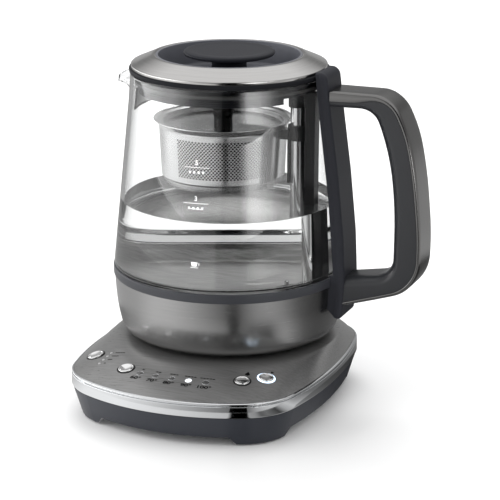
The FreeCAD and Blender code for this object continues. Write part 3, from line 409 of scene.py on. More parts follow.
def button_radius(name):
    """Radius of a button, a little under half the width of its tilted node."""
    low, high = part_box(name)
    return (high.x - low.x) / 2 / MM * TILT_ALLOWANCE


WINDOW_RADIUS, WINDOW_CURVE = 2.2, 0.0028
window_places = [(x, -100.7 + WINDOW_CURVE * x**2) for x in (-22.5 + 11.8 * i for i in range(5))]
PILL_RADIUS = 1.2
pill_places = [(-55.4 - 0.55 * i, -74.6 - 5.0 * i) for i in range(4)]


def merge_into(target, bm):
    """Add one mesh's shape to another's."""
    spare = bpy.data.meshes.new("spare")
    bm.to_mesh(spare)
    bm.free()
    target.from_mesh(spare)
    bpy.data.meshes.remove(spare)


def plug(radius, reach):
    """A short rod across the deck's sheet."""
    return turned([(0, -reach), (radius, -reach), (radius, reach), (0, reach)], 48)


def cut_out(thing, tool):
    """Cut one piece by another, which is then dropped."""
    cutter = thing.modifiers.new("cut", "BOOLEAN")
    cutter.operation = "DIFFERENCE"
    cutter.solver = "EXACT"
    cutter.object = tool
    bpy.context.view_layer.update()
    result = thing.evaluated_get(bpy.context.evaluated_depsgraph_get())
    mesh = bpy.data.meshes.new_from_object(result)
    thing.modifiers.clear()
    thing.data = mesh
    mesh.set_sharp_from_angle(angle=math.radians(CREASE))
    bpy.data.objects.remove(tool)


holes = bmesh.new()
for name, (x, y) in BUTTONS.items():
    merge_into(holes, stand(plug(button_radius(name) + BUTTON_GAP + 0.7, 6), x, y))
for x, y in window_places:
    merge_into(holes, stand(plug(WINDOW_RADIUS + 0.3, 4), x, y))
for x, y in pill_places:
    merge_into(holes, stand(plug(PILL_RADIUS + 0.2, 4), x, y))

smoked_deck = brushed("smoked_steel_across", grey(0.25, 0.005), 0.30, (10, 1100, 1100), 0.2, 0.5)
smoked_deck.set("Metallic", 0.62)
deck = out_of_round(turned(deck_profile, 360), deck_reach)
deck_piece = piece("deck", deck, smoked_deck, "power_base", ["deck_plate"])
cut_out(deck_piece, piece("deck_holes", holes, smoked_deck, "power_base"))

# ----------------------------------------------------------------- buttons
# Spun metal caps, each in a black guide ring pressed into the deck. They dip by a
# millimetre on to their switches. The start button's ring lights up.

spun_cap = brushed("spun_cap", grey(0.86), 0.12, (700, 700, 700), 0.03, 0.04)
guide_black = moulded("guide_ring_polymer", grey(0.012), 0.35)
lit_ring = Finish("lit_ring", base_color=(0.8, 0.9, 1.0, 1.0), roughness=0.4,
                  emission_color=(0.62, 0.80, 1.0, 1.0), emission_strength=1.5)


def button_cap(radius):
    """Shallow dish inside a bright round rim, on a short skirt."""
    return turned([
        (0, 0.10), (radius * 0.55, 0.45, 1.2), (radius * 0.74, 0.75, 0.4),
        (radius * 0.80, 0.45, 0.15), (radius * 0.88, 0.85, 0.25), (radius - 0.1, 0.75, 0.3),
        (radius, 0.0, 0.2), (radius, -2.6), (0, -2.6)], 72)


def guide_ring(radius):
    """Black ring between the deck and a cap."""
    return turned([
        (radius + BUTTON_GAP, -3.0), (radius + 0.98, -3.0), (radius + 0.98, 0.1, 0.15),
        (radius + 0.55, 0.2, 0.15), (radius + BUTTON_GAP, 0.0)], 72)


guides = bmesh.new()
for name, (x, y) in BUTTONS.items():
    radius = button_radius(name)
    piece(name + "_cap", stand(button_cap(radius), x, y), spun_cap, name, [name])
    ring = stand(guide_ring(radius), x, y)
    if name == "start_button":
        piece("start_light_ring", ring, lit_ring, "power_base")
    else:
        merge_into(guides, ring)
piece("button_guides", guides, guide_black, "power_base")

# -------------------------------------------------------- windows and lights
# Five temperature windows of smoky acrylic along the front, each in a steel rim, and four
# small strength lights of pale acrylic. The chosen temperature's window is lit.

smoky_guide = Finish("smoky_acrylic", base_color=grey(0.05), roughness=0.12, coat_weight=0.6)
pale_guide = Finish("pale_acrylic", base_color=grey(0.42), roughness=0.25)
lit_guide = Finish("lit_acrylic", base_color=grey(0.9), roughness=0.3,
                   emission_color=(0.85, 0.93, 1, 1), emission_strength=0.9)


def light_lens(radius):
    """Flat lens that stands a little proud of the deck."""
    return turned([
        (0, 0.2), (radius * 0.7, 0.16), (radius, -0.1, 0.15), (radius, -3.0), (0, -3.0)], 40)


def trim_ring(radius):
    """Thin rim round a lens."""
    return turned([
        (radius, -2.0), (radius + 0.28, -2.0), (radius + 0.28, 0.16, 0.12),
        (radius, 0.16, 0.12)], 40)


LIT_WINDOW = 3
lenses, lit_lens, rims = bmesh.new(), bmesh.new(), bmesh.new()
for i, (x, y) in enumerate(window_places):
    merge_into(lit_lens if i == LIT_WINDOW else lenses, stand(light_lens(WINDOW_RADIUS), x, y))
    merge_into(rims, stand(trim_ring(WINDOW_RADIUS), x, y))
piece("temperature_windows", lenses, smoky_guide, "power_base", ["temperature_leds"])
piece("temperature_window_lit", lit_lens, lit_guide, "power_base")
piece("window_rims", rims, steel_mirror, "power_base")
pills = bmesh.new()
for x, y in pill_places:
    merge_into(pills, stand(light_lens(PILL_RADIUS), x, y))
piece("strength_lights", pills, pale_guide, "power_base", ["strength_leds"])

# -------------------------------------------------------------- connector
# The black tower that feeds the jug, with brass contact rings, its flange on the deck,
# and the cap that turns with the jug.

connector_polymer = moulded("connector_polymer", grey(0.016), 0.45)
dress(connector_polymer, "base_connector", "connector_cap", "jug_plug", "jug_underplate")
dress(polished("contact_brass", (0.72, 0.50, 0.22, 1.0), 0.2), "contact_rings")

# --------------------------------------------------------------- jug shell
# The heater's housing: a cup of smoked stainless steel, spun, brushed round and turned in
# under its heel.


def extent(name):
    """Radius, foot and top of a solid that is round about the jug's axis, in millimetres."""
    low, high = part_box(name)
    return high.x / MM, low.z / MM, high.z / MM


shell_radius, shell_foot, shell_top = extent("jug_shell")
SHELL_WALL, HEEL_RADIUS, HEEL_HOLE = 1.2, 66.0, 62.0
shell_line = [
    (HEEL_RADIUS, shell_foot, 2.0), (71.0, shell_foot + 1.3, 1.5), (73.6, shell_foot + 3.6, 1.5),
    (75.0, shell_foot + 6.7, 2.0), (77.3, shell_foot + 17.2, 4.0), (78.6, shell_foot + 28.8, 5.0)]
shell_inner = [(radius - SHELL_WALL, height + 0.3)
               for radius, height, _ in reversed(shell_line[1:])]
shell_profile = [
    (HEEL_HOLE, shell_foot), *shell_line, (shell_radius, shell_top),
    (shell_radius - SHELL_WALL, shell_top), *shell_inner,
    (HEEL_RADIUS - 0.4, shell_foot + SHELL_WALL), (HEEL_HOLE, shell_foot + SHELL_WALL)]
smoked_shell = brushed("smoked_steel_round", grey(0.37, 0.005), 0.24, (30, 30, 2600), 0.08, 0.14)
piece("heater_shell", turned(shell_profile, 240), smoked_shell, "jug", ["jug_shell"])

# ------------------------------------------------------------------ collar
# The satin polymer ring that clamps the glass to the heater, over a clear silicone gasket
# round the foot of the glass.

collar_radius, collar_foot, collar_top = extent("jug_collar")
FOOT_RADIUS, LEDGE_RADIUS, LEDGE_TOP = 75.6, 70.0, 74.0
GASKET_RADIUS, GASKET_FOOT, GASKET_TOP = 76.9, 84.4, collar_top - 0.9
HAIR = 0.02  # keeps faces apart that would otherwise touch
bore = FOOT_RADIUS + HAIR
collar_profile = [
    (LEDGE_RADIUS, collar_foot), (77.0, collar_foot), (77.0, shell_top + HAIR),
    (collar_radius, shell_top + HAIR, 0.5), (collar_radius, collar_top, 0.7), (bore, collar_top),
    (bore, GASKET_TOP), (GASKET_RADIUS, GASKET_TOP), (GASKET_RADIUS, GASKET_FOOT),
    (bore, GASKET_FOOT), (bore, LEDGE_TOP), (LEDGE_RADIUS, LEDGE_TOP)]
gasket_profile = [
    (bore, GASKET_FOOT + HAIR), (GASKET_RADIUS - HAIR, GASKET_FOOT + HAIR),
    (GASKET_RADIUS - HAIR, GASKET_TOP - HAIR), (bore, GASKET_TOP - HAIR)]
collar_polymer = moulded("collar_polymer", (0.036, 0.038, 0.045), 0.34, 0.08,
                         specular_ior_level=0.5)
# The gasket's emission is a painted glow: it stands in for light, so the gasket reads pale although
# it sits in the collar's shade.
gasket_painted_glow = moulded("gasket_painted_glow", grey(0.80), 0.35, emission_color=grey(1.0),
                         emission_strength=0.45)
piece("glass_gasket", turned(gasket_profile), gasket_painted_glow, "jug")
piece("collar", turned(collar_profile, 240), collar_polymer, "jug", ["jug_collar"])
dress(moulded("seal_silicone", grey(0.05), 0.5), "floor_seal", "lid_seal", "column_bond")

# ------------------------------------------------------------ heater floor
# The stainless floor of the jug is pressed into a dish whose rim stands inside the glass.
# The sensor pin comes up through it in a silicone seal. The cast heating element and the
# lift motor are underneath.

floor_foot, floor_level = extent("heater_floor")[1:]
floor_steel = brushed("floor_steel", grey(0.25, 0.01), 0.34, (90, 520, 520), 0.8, 0.9)
floor_dish = turned([
    (0, floor_foot), (FOOT_RADIUS, floor_foot), (FOOT_RADIUS, floor_level),
    (FOOT_RADIUS - 4.4, floor_level, 0.3), (FOOT_RADIUS - 4.4, 79.0, 0.4),
    (FOOT_RADIUS - 2.9, 80.4, 0.4), (FOOT_RADIUS - 2.9, 84.2, 0.3), (FOOT_RADIUS - 4.0, 84.6, 0.3),
    (FOOT_RADIUS - 4.8, 81.0, 1.0), (66.0, floor_level + 2.6, 2.0), (61.0, floor_level, 2.0),
    (0, floor_level)], 200)
piece("floor_dish", floor_dish, floor_steel, "jug", ["heater_floor"])
dress(brushed("sensor_steel", grey(0.72), 0.16, (200, 200, 200)), "temperature_sensor")


def off_axis(bm, x, y=0.0):
    """Move a turned piece off the jug's axis, by metres."""
    bmesh.ops.translate(bm, vec=(x, y, 0), verts=bm.verts[:])
    return bm


SENSOR_X, SENSOR_Y, SENSOR_RADIUS, SEAL_TOP = 39.4, -11.0, 1.6, 79.8
sensor_seal = turned([
    (SENSOR_RADIUS, floor_level + HAIR), (5.6, floor_level + HAIR), (5.6, 78.4, 0.6),
    (3.4, SEAL_TOP, 0.5), (SENSOR_RADIUS, SEAL_TOP)], 48)
brown_silicone = moulded("brown_silicone", (0.022, 0.016, 0.014), 0.5)
piece("sensor_seal", off_axis(sensor_seal, SENSOR_X * MM, SENSOR_Y * MM), brown_silicone, "jug")
dress(brushed("cast_aluminium", grey(0.5), 0.5, (400, 400, 400)), "heating_element")
dress(zinc, "lift_motor", "lift_screw", "magnet_nut", "basket_magnet")

# --------------------------------------------------------------- glass jug
# Blown borosilicate glass, turned to a steady taper, fire-polished at the mouth and drawn
# out into a pouring lip while hot.

glass_low, glass_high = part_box("glass_jug")
glass_foot, mouth = glass_low.z / MM, glass_high.z / MM
GLASS_WALL = 2.6
SHOULDER_RADIUS, WAIST_RADIUS, MOUTH_RADIUS = 79.5, 67.9, 66.4
SHOULDER_FOOT, SHOULDER_LEVEL, WAIST_LEVEL = 89.9, 91.2, 203.0


def evenly(start, end, steps):
    """Points from one corner towards the next, without the last."""
    return [tuple(near + (far - near) * i / steps for near, far in zip(start, end))
            for i in range(steps)]


waist = (WAIST_RADIUS, WAIST_LEVEL)
taper = evenly((SHOULDER_RADIUS, SHOULDER_LEVEL), waist, 24)[1:]
taper += evenly(waist, (MOUTH_RADIUS, mouth), 14)
glass_profile = [
    (FOOT_RADIUS, glass_foot), (FOOT_RADIUS, SHOULDER_FOOT),
    (SHOULDER_RADIUS - 0.8, SHOULDER_FOOT, 0.3), (SHOULDER_RADIUS, SHOULDER_LEVEL, 0.6),
    *taper, (MOUTH_RADIUS, mouth, 1.2), (MOUTH_RADIUS - GLASS_WALL, mouth, 1.2),
    *((radius - GLASS_WALL, height) for radius, height in reversed(taper)),
    (SHOULDER_RADIUS - GLASS_WALL, 92.4, 1.0), (FOOT_RADIUS - GLASS_WALL, 90.7, 1.0),
    (FOOT_RADIUS - GLASS_WALL, glass_foot)]


def part_way(value, start, end):
    """How far a value is from start to end, held between 0 and 1."""
    return min(1.0, max(0.0, (value - start) / (end - start)))


def ease(share):
    """Ease a share from 0 to 1."""
    return share * share * (3 - 2 * share)


LIP_FOOT, LIP_FULL, NOSE_FOOT, NOSE_DIP = 190.0, 213.0, 205.0, 9.0
LIP_NARROW, LIP_SPREAD, SIDE_SHARE = 0.10, 0.17, 0.35
lip_pull = -glass_low.x - MOUTH_RADIUS * MM


def draw_lip(bm):
    """Pull the glass out round -X into a lip: a long taper below, a round nose on top."""
    for vert in bm.verts:
        angle = abs(math.atan2(vert.co.y, -vert.co.x))
        height = vert.co.z / MM
        radius = math.hypot(vert.co.x, vert.co.y)
        rise = part_way(height, LIP_FOOT, LIP_FULL)
        across = max(0.0, 1 - angle / (LIP_NARROW + LIP_SPREAD * rise))
        pull = lip_pull * rise**2.2 * across**1.15
        vert.co.x *= (radius + pull) / radius
        vert.co.y *= (radius + pull * SIDE_SHARE) / radius
        vert.co.z -= ease(part_way(height, NOSE_FOOT, mouth)) * across**1.3 * NOSE_DIP * MM
    return bm


clear_glass = Finish("borosilicate", base_color=(0.98, 0.985, 0.985, 1.0), roughness=0.0,
                     transmission_weight=1.0, ior=1.47)
glass = draw_lip(turned(glass_profile, 256))
piece("glass", glass, clear_glass, "jug", ["glass_jug"], 60)

# ------------------------------------------------------- pole, rail and cap
# A ground stainless tube on a polished foot, with a black rail behind it that hides the
# sensor wires, and a cap that ties both together.

dress(polished("ground_steel", grey(0.68), 0.10), "guide_pole")
dress(steel_mirror, "pole_foot")
gloss_black = moulded("gloss_black_polymer", grey(0.010), 0.20, 0.04)
dress(gloss_black, "guide_rail", "pole_cap", "basket_carrier")

# -------------------------------------------------------------- tea basket
# A spun stainless cup with a flared, rolled rim. Two fields of small holes are punched
# through its wall in staggered rows, and a shallow step closes it below. Behind the holes
# stands a near-black sheet: painted shade for the dark inside of the closed basket.

AROUND = ((1, 0), (1, 1), (0, 1), (-1, 1), (-1, 0), (-1, -1), (0, -1), (1, -1))


def punched_sheet(columns, rows, hole, punched, bend, wall, closed):
    """A sheet of staggered cells, with a round hole in each cell that is punched. Bend
    takes a place on the sheet, counted in cells across and up, and a hole's size is a
    share of its cell's width and of its height."""
    bm = bmesh.new()
    grid = {}

    def corner(across, up):
        if closed:
            across %= 2 * columns
        if (across, up) not in grid:
            grid[across, up] = bm.verts.new(bend(across / 2, up / 2))
        return grid[across, up]

    for row in range(rows):
        for column in range(columns):
            across, up = 2 * column + 1 + row % 2, 2 * row + 1
            outer = [corner(across + step_across, up + step_up) for step_across, step_up in AROUND]
            if not punched(across / 2, up / 2):
                bm.faces.new(outer)
                continue
            inner = []
            for i in range(8):
                way = math.radians(45 * i)
                inner.append(bm.verts.new(bend(across / 2 + hole[0] * math.cos(way),
                                               up / 2 + hole[1] * math.sin(way))))
            for i in range(8):
                after = (i + 1) % 8
                bm.faces.new((outer[i], outer[after], inner[after], inner[i]))
    bmesh.ops.recalc_face_normals(bm, faces=bm.faces[:])
    bmesh.ops.solidify(bm, geom=bm.faces[:], thickness=wall)
    bmesh.ops.recalc_face_normals(bm, faces=bm.faces[:])
    return bm


basket_low, basket_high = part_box("tea_basket")
basket_x = (basket_low.x + basket_high.x) / 2
basket_foot, rim_level = basket_low.z / MM, basket_high.z / MM
rim_radius = (basket_high.x - basket_low.x) / 2 / MM
CUP_RADIUS, CUP_LOW_RADIUS, STEP_RADIUS = 43.6, 42.0, 39.6
CUP_LEVEL, CUP_LOW = 187.0, 152.5
FIELD_LOW, FIELD_HIGH = 155.5, 184.0
FIELD_COLUMNS, FIELD_ROWS = 114, 23
FIELD_START, FIELD_END = 24, 112
BASKET_WALL, FIELD_SHEET = 0.9, 0.4


def cup_radius(height):
    """Outer radius of the cup's wall at a height."""
    share = (height - CUP_LOW) / (CUP_LEVEL - CUP_LOW)
    return CUP_LOW_RADIUS + (CUP_RADIUS - CUP_LOW_RADIUS) * share


def bend_to_cup(across, up):
    """Where a place on the sheet comes to lie on the cup's wall."""
    way = 2 * math.pi * across / FIELD_COLUMNS
    height = FIELD_LOW + (FIELD_HIGH - FIELD_LOW) * up / FIELD_ROWS
    radius = cup_radius(height)
    return Vector((radius * math.cos(way), radius * math.sin(way), height)) * MM


def in_fields(across, up):
    """Whether a cell lies in the front or the back field of holes."""
    way = abs((360 * across / FIELD_COLUMNS + 180) % 360 - 180)
    return FIELD_START < way < FIELD_END and 0.6 < up < FIELD_ROWS - 0.6


basket = punched_sheet(FIELD_COLUMNS, FIELD_ROWS, (0.31, 0.52), in_fields, bend_to_cup,
                       FIELD_SHEET * MM, True)
top_wall, low_wall = cup_radius(FIELD_HIGH), cup_radius(FIELD_LOW)
merge_into(basket, turned([
    (top_wall, FIELD_HIGH), (CUP_RADIUS, CUP_LEVEL, 1.2), (rim_radius - 0.7, rim_level - 0.9, 0.5),
    (rim_radius, rim_level - 0.5, 0.25), (rim_radius - 0.1, rim_level, 0.25),
    (rim_radius - 1.4, rim_level - 0.2, 0.5), (CUP_RADIUS - BASKET_WALL, CUP_LEVEL + 0.3, 1.2),
    (top_wall - BASKET_WALL, FIELD_HIGH)], 180))
merge_into(basket, turned([
    (low_wall, FIELD_LOW), (CUP_LOW_RADIUS, CUP_LOW, 0.5),
    (CUP_LOW_RADIUS - 0.8, CUP_LOW - 0.8, 0.4), (STEP_RADIUS, CUP_LOW - 0.8, 0.5),
    (STEP_RADIUS, basket_foot, 0.9), (0, basket_foot), (0, basket_foot + BASKET_WALL),
    (STEP_RADIUS - BASKET_WALL, basket_foot + BASKET_WALL, 0.5),
    (STEP_RADIUS - BASKET_WALL, CUP_LOW + 0.1, 0.4),
    (CUP_LOW_RADIUS - BASKET_WALL, CUP_LOW + 0.3, 0.4), (low_wall - BASKET_WALL, FIELD_LOW)], 180))
basket_steel = brushed("basket_steel", grey(0.78), 0.20, (30, 30, 1800), 0.04, 0.06)
piece("basket", off_axis(basket, basket_x), basket_steel, "basket", ["tea_basket"])

# A near-black sheet just inside the fields of holes is painted shade: it makes the holes read as
# dark as the shaded inside of the closed basket.
shade_sheet = turned([
    (top_wall - FIELD_SHEET - HAIR, FIELD_HIGH), (top_wall - BASKET_WALL, FIELD_HIGH),
    (low_wall - BASKET_WALL, FIELD_LOW), (low_wall - FIELD_SHEET - HAIR, FIELD_LOW)], 180)
shade_sheet_finish = brushed("painted_shade_sheet", grey(0.014), 0.6, (2200, 2200, 2200), 0.3, 0.3)
piece("basket_shade_sheet", off_axis(shade_sheet, basket_x), shade_sheet_finish, "basket")

# -------------------------------------------------------------- basket lid
# A shallow pressed lid that drops into the basket's mouth, with a black turned knob.

lid_plate = CUP_LEVEL - 2.4
basket_cover = turned([
    (0, lid_plate), (CUP_RADIUS - 2, lid_plate, 0.8), (CUP_RADIUS - 2, CUP_LEVEL + 1.8, 0.8),
    (CUP_RADIUS + 0.9, CUP_LEVEL + 2.7, 0.2), (CUP_RADIUS + 0.9, CUP_LEVEL + 3.4, 0.2),
    (CUP_RADIUS - 2.8, CUP_LEVEL + 2.5, 0.8), (CUP_RADIUS - 3, lid_plate + 1, 0.7),
    (0, lid_plate + 1)], 180)
cover_steel = brushed("smoked_cover_steel", grey(0.45), 0.22, (400, 400, 400), 0.04)
piece("basket_cover", off_axis(basket_cover, basket_x), cover_steel, "basket_lid", ["basket_lid"])
cover_knob = turned([
    (0, lid_plate + 1), (6.4, lid_plate + 1), (6.2, CUP_LEVEL + 4, 0.8), (7.3, CUP_LEVEL + 6, 0.8),
    (7.8, CUP_LEVEL + 9.2, 0.6), (6.8, CUP_LEVEL + 10.4, 0.6), (0, CUP_LEVEL + 10.2)], 64)
piece("basket_cover_knob", off_axis(cover_knob, basket_x), gloss_black, "basket_lid",
      ["basket_lid_knob"])

# ------------------------------------------------------------ spout filter
# Fine stainless mesh in a thin black frame, hung against the glass behind the lip.

filter_low, filter_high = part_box("spout_filter")
filter_foot, filter_top, filter_radius = filter_low.z, filter_high.z, -filter_low.x
FILTER_HALF, FILTER_LEAN = math.radians(18), 0.115
FILTER_COLUMNS, FILTER_ROWS = 32, 24
MESH_DEPTH, MESH_WALL = 0.6 * MM, 0.25 * MM
FRAME_WIDTH, FRAME_DEPTH, FRAME_STEPS = 1.1 * MM, 1.3 * MM, 16


def filter_place(way, height, depth):
    """A point of the strainer: an angle about the spout, a height and a depth, in metres."""
    radius = filter_radius - FILTER_LEAN * (height - filter_foot) - depth
    return Vector((-radius * math.cos(way), -radius * math.sin(way), height))


def bend_to_filter(across, up):
    """Where a place on the mesh comes to lie behind the spout."""
    way = FILTER_HALF * (2 * across / (FILTER_COLUMNS + 0.5) - 1)
    height = filter_foot + (filter_top - filter_foot) * up / FILTER_ROWS
    return filter_place(way, height, MESH_DEPTH)


mesh_steel = brushed("mesh_steel", grey(0.30), 0.35, (900, 900, 900))
strainer = punched_sheet(FILTER_COLUMNS, FILTER_ROWS, (0.34, 0.40), lambda across, up: True,
                         bend_to_filter, MESH_WALL, False)
piece("strainer_mesh", strainer, mesh_steel, "jug", ["spout_filter"])
frame_bars = bmesh.new()
side_edge = FILTER_HALF - FRAME_WIDTH / filter_radius
for start, end, bar_low, bar_high in (
        (-FILTER_HALF, FILTER_HALF, filter_foot, filter_foot + FRAME_WIDTH),
        (-FILTER_HALF, FILTER_HALF, filter_top - FRAME_WIDTH, filter_top),
        (-FILTER_HALF, -side_edge, filter_foot, filter_top),
        (side_edge, FILTER_HALF, filter_foot, filter_top)):
    for i in range(FRAME_STEPS):
        ways = [start + (end - start) * (i + j) / FRAME_STEPS for j in (0, 1)]
        for vert in bmesh.ops.create_cube(frame_bars, size=1)["verts"]:
            height = bar_high if vert.co.z > 0 else bar_low
            depth = 0 if vert.co.y > 0 else FRAME_DEPTH
            vert.co = filter_place(ways[vert.co.x > 0], height, depth)
bmesh.ops.remove_doubles(frame_bars, verts=frame_bars.verts[:], dist=1e-6)
bmesh.ops.recalc_face_normals(frame_bars, faces=frame_bars.faces[:])
piece("strainer_frame", frame_bars, gloss_black, "jug")

# ------------------------------------------------------------------ handle
# A moulded column bonded to the glass, a hollow loop grip, and a strap of smoked steel
# let into the grip's outside.

column_polymer = moulded("column_polymer", (0.026, 0.027, 0.033), 0.42, 0.06,
                         specular_ior_level=0.12)
dress(column_polymer, "handle_column")

GRIP_LINE = ((66, 217.4, 0), (112.4, 217.4, 20), (122.8, 209.8, 23), (131.6, 191.8, 92),
             (137.4, 163.0, 290), (141.1, 122.0, 225), (140.2, 98.5, 27), (130.5, 84.6, 25),
             (112.0, 78.6, 120), (66, 64.5, 0))
HAND_HOLE = ((66, 206.8, 0), (105.5, 206.8, 14), (116.6, 180, 150), (121.2, 142, 280),
             (121.0, 96.6, 13), (66, 87.4, 0))
LINE_ENDS = {0: 76.5, -1: 84.0}
CORNER_STEPS = 12


def rounded_line(points):
    """Points along an open line whose corners are rounded, cut at its ends' values of X."""
    line = []
    for i, (x, z, radius) in enumerate(points):
        here = Vector((x, z))
        if radius == 0:
            line.append(here)
            continue
        back = (Vector(points[i - 1][:2]) - here).normalized()
        ahead = (Vector(points[i + 1][:2]) - here).normalized()
        half = back.angle(ahead) / 2
        centre = here + (back + ahead).normalized() * (radius / math.sin(half))
        start = here + back * (radius / math.tan(half)) - centre
        end = here + ahead * (radius / math.tan(half)) - centre
        first = math.atan2(start.y, start.x)
        sweep = (math.atan2(end.y, end.x) - first + math.pi) % (2 * math.pi) - math.pi
        for j in range(CORNER_STEPS + 1):
            way = first + sweep * j / CORNER_STEPS
            line.append(centre + Vector((math.cos(way), math.sin(way))) * radius)
    for end, after in ((0, 1), (-1, -2)):
        near, far = line[end], line[after]
        line[end] = near.lerp(far, (LINE_ENDS[end] - near.x) / (far.x - near.x))
    return line


def spaced(line, count):
    """The line again, as evenly spaced points."""
    lengths = [0.0]
    for near, far in zip(line, line[1:]):
        lengths.append(lengths[-1] + (far - near).length)
    result, index = [], 0
    for i in range(count + 1):
        target = lengths[-1] * i / count
        while index < len(line) - 2 and lengths[index + 1] < target:
            index += 1
        share = (target - lengths[index]) / (lengths[index + 1] - lengths[index])
        result.append(line[index].lerp(line[index + 1], share))
    return result


HANDLE_STEPS = 150
outer_line = spaced(rounded_line(GRIP_LINE), HANDLE_STEPS)
inner_line = spaced(rounded_line(HAND_HOLE), HANDLE_STEPS)
GRIP_HALF, GRIP_CURVE, STRAP_SHEET = 13.0, 6.5, 2.2
LAP, LAP_FROM, LAP_GONE, ARM_LEVEL = 4.2, 96, 122, 150


def swept(section):
    """A closed section carried round the handle. It is given the handle's depth there and
    how far the strap laps down its sides, and returns its corners, each measured out from
    the hand hole and across."""
    bm = bmesh.new()
    rings = []
    for outer, inner in zip(outer_line, inner_line):
        way = (outer - inner).normalized()
        ring = []
        lap = 0
        if outer.y > ARM_LEVEL:
            lap = LAP * (1 - ease(part_way(outer.x, LAP_FROM, LAP_GONE)))
        for out, across in section((outer - inner).length, lap):
            spot = inner + way * out
            ring.append(bm.verts.new((spot.x * MM, across * MM, spot.y * MM)))
        rings.append(ring)
    for near, far in zip(rings, rings[1:]):
        for i in range(len(near)):
            after = (i + 1) % len(near)
            bm.faces.new((near[i], near[after], far[after], far[i]))
    bm.faces.new(rings[0])
    bm.faces.new(rings[-1])
    bmesh.ops.recalc_face_normals(bm, faces=bm.faces[:])
    return bm


def both_sides(half):
    """A section from its half with positive Y."""
    return half + [(out, -across) for out, across in reversed(half)]


def grip_section(depth, lap):
    """The grip, rounded towards the hand hole and rebated for the strap's laps."""
    core = depth - STRAP_SHEET
    side = core - lap
    curve = min(GRIP_CURVE, side * 0.8, core * 0.48)
    half = [(0, 3)]
    for i in range(9):
        way = math.radians(90 * i / 8)
        half.append((curve - curve * math.cos(way), GRIP_HALF - curve + curve * math.sin(way)))
    return both_sides(half + [
        (side - 0.6, GRIP_HALF), (side - 0.45, GRIP_HALF - 0.2), (side - 0.4, GRIP_HALF - 0.9),
        (core - HAIR, GRIP_HALF - 0.9), (core - HAIR, 3)])


def strap_section(depth, lap):
    """The strap, over the grip's outside and down its sides by the lap."""
    core = depth - STRAP_SHEET
    side = core - lap
    return both_sides([
        (core, 3), (core, GRIP_HALF - 0.85), (side - 0.3, GRIP_HALF - 0.7),
        (side - 0.25, GRIP_HALF - 0.1), (side, GRIP_HALF), (core + 0.7, GRIP_HALF),
        (core + 1.1, GRIP_HALF - 0.12), (core + 1.6, GRIP_HALF - 0.5),
        (core + 1.95, GRIP_HALF - 1.1), (core + 2.15, GRIP_HALF - 2.0), (depth, GRIP_HALF - 3.2),
        (depth, 3)])


grip_polymer = moulded("grip_polymer", (0.022, 0.023, 0.026), 0.32, 0.06, specular_ior_level=0.5)
piece("grip", swept(grip_section), grip_polymer, "jug", ["handle_grip"])
strap_steel = brushed("smoked_steel_strap", grey(0.19, 0.015), 0.20, (30, 1800, 30), 0.05)
piece("strap", swept(strap_section), strap_steel, "jug", ["handle_strap"])

# --------------------------------------------------------------------- lid
# A dark moulded body that plugs the mouth with a ribbed skirt, a recessed bowl, a cone of
# brushed steel pressed over the edge, and a wide flat knob on a stem.

lid_polymer = moulded("lid_polymer", (0.012, 0.0125, 0.015), 0.42, 0.03, specular_ior_level=0.08)
lid_radius, skirt_foot, edge_top = extent("lid_body")
EDGE_LOW, PLATE_LOW, PLATE_TOP = 223.2, 213.0, 215.0
SKIRT_RADIUS, BOWL_SEAT, BORE, RIB_STEP = 61.5, 53.3, 2, 1.4
ribs = []
height = skirt_foot + 0.6
while height < EDGE_LOW - RIB_STEP:
    ribs += [(SKIRT_RADIUS, height), (SKIRT_RADIUS, height + 0.9),
             (SKIRT_RADIUS - 0.3, height + 1.0), (SKIRT_RADIUS - 0.3, height + 1.3)]
    height += RIB_STEP
lid_body = turned([
    (BORE, PLATE_LOW), (SKIRT_RADIUS - 1.6, PLATE_LOW), (SKIRT_RADIUS - 1.6, skirt_foot),
    (SKIRT_RADIUS - 0.3, skirt_foot, 0.3), *ribs, (SKIRT_RADIUS, EDGE_LOW),
    (lid_radius - 0.5, EDGE_LOW, 0.4), (lid_radius, EDGE_LOW + 0.9, 0.5),
    (lid_radius, edge_top - 0.5, 0.3), (lid_radius - 0.8, edge_top), (BOWL_SEAT, edge_top),
    (BOWL_SEAT, PLATE_TOP), (BORE, PLATE_TOP)], 220)
lid_piece = piece("lid_moulding", lid_body, lid_polymer, "lid", ["lid_body"])

# The skirt's lower edge is open on the handle's side.
GAP_CENTRE, GAP_SIZE = (0.0524, 0, 0.2119), (0.0242, 0.066, 0.005)
skirt_gap = bmesh.new()
bmesh.ops.create_cube(skirt_gap, size=1)
bmesh.ops.scale(skirt_gap, vec=GAP_SIZE, verts=skirt_gap.verts[:])
bmesh.ops.translate(skirt_gap, vec=GAP_CENTRE, verts=skirt_gap.verts[:])
cut_out(lid_piece, piece("lid_notch", skirt_gap, lid_polymer, "lid"))

bowl_radius, _, bowl_top = extent("lid_bowl")
BOWL_FLOOR = 217.5
bowl = turned([
    (BORE, PLATE_TOP), (bowl_radius - 2.4, PLATE_TOP, 0.8), (bowl_radius, PLATE_TOP + 2, 0.8),
    (bowl_radius, bowl_top, 0.3), (bowl_radius - 1.6, bowl_top, 0.5),
    (bowl_radius - 2.0, BOWL_FLOOR + 2, 1.2), (bowl_radius - 4.6, BOWL_FLOOR, 1.2),
    (BORE, BOWL_FLOOR)], 200)
# The bowl's polymer is painted far lighter than the lid's body: painted light, making up for the
# shade in the bowl's hollow.
bowl_polymer_painted_light = moulded("bowl_polymer_painted_light", (0.125, 0.129, 0.148), 0.36, 0.08, specular_ior_level=0.5)
piece("bowl", bowl, bowl_polymer_painted_light, "lid", ["lid_bowl"])

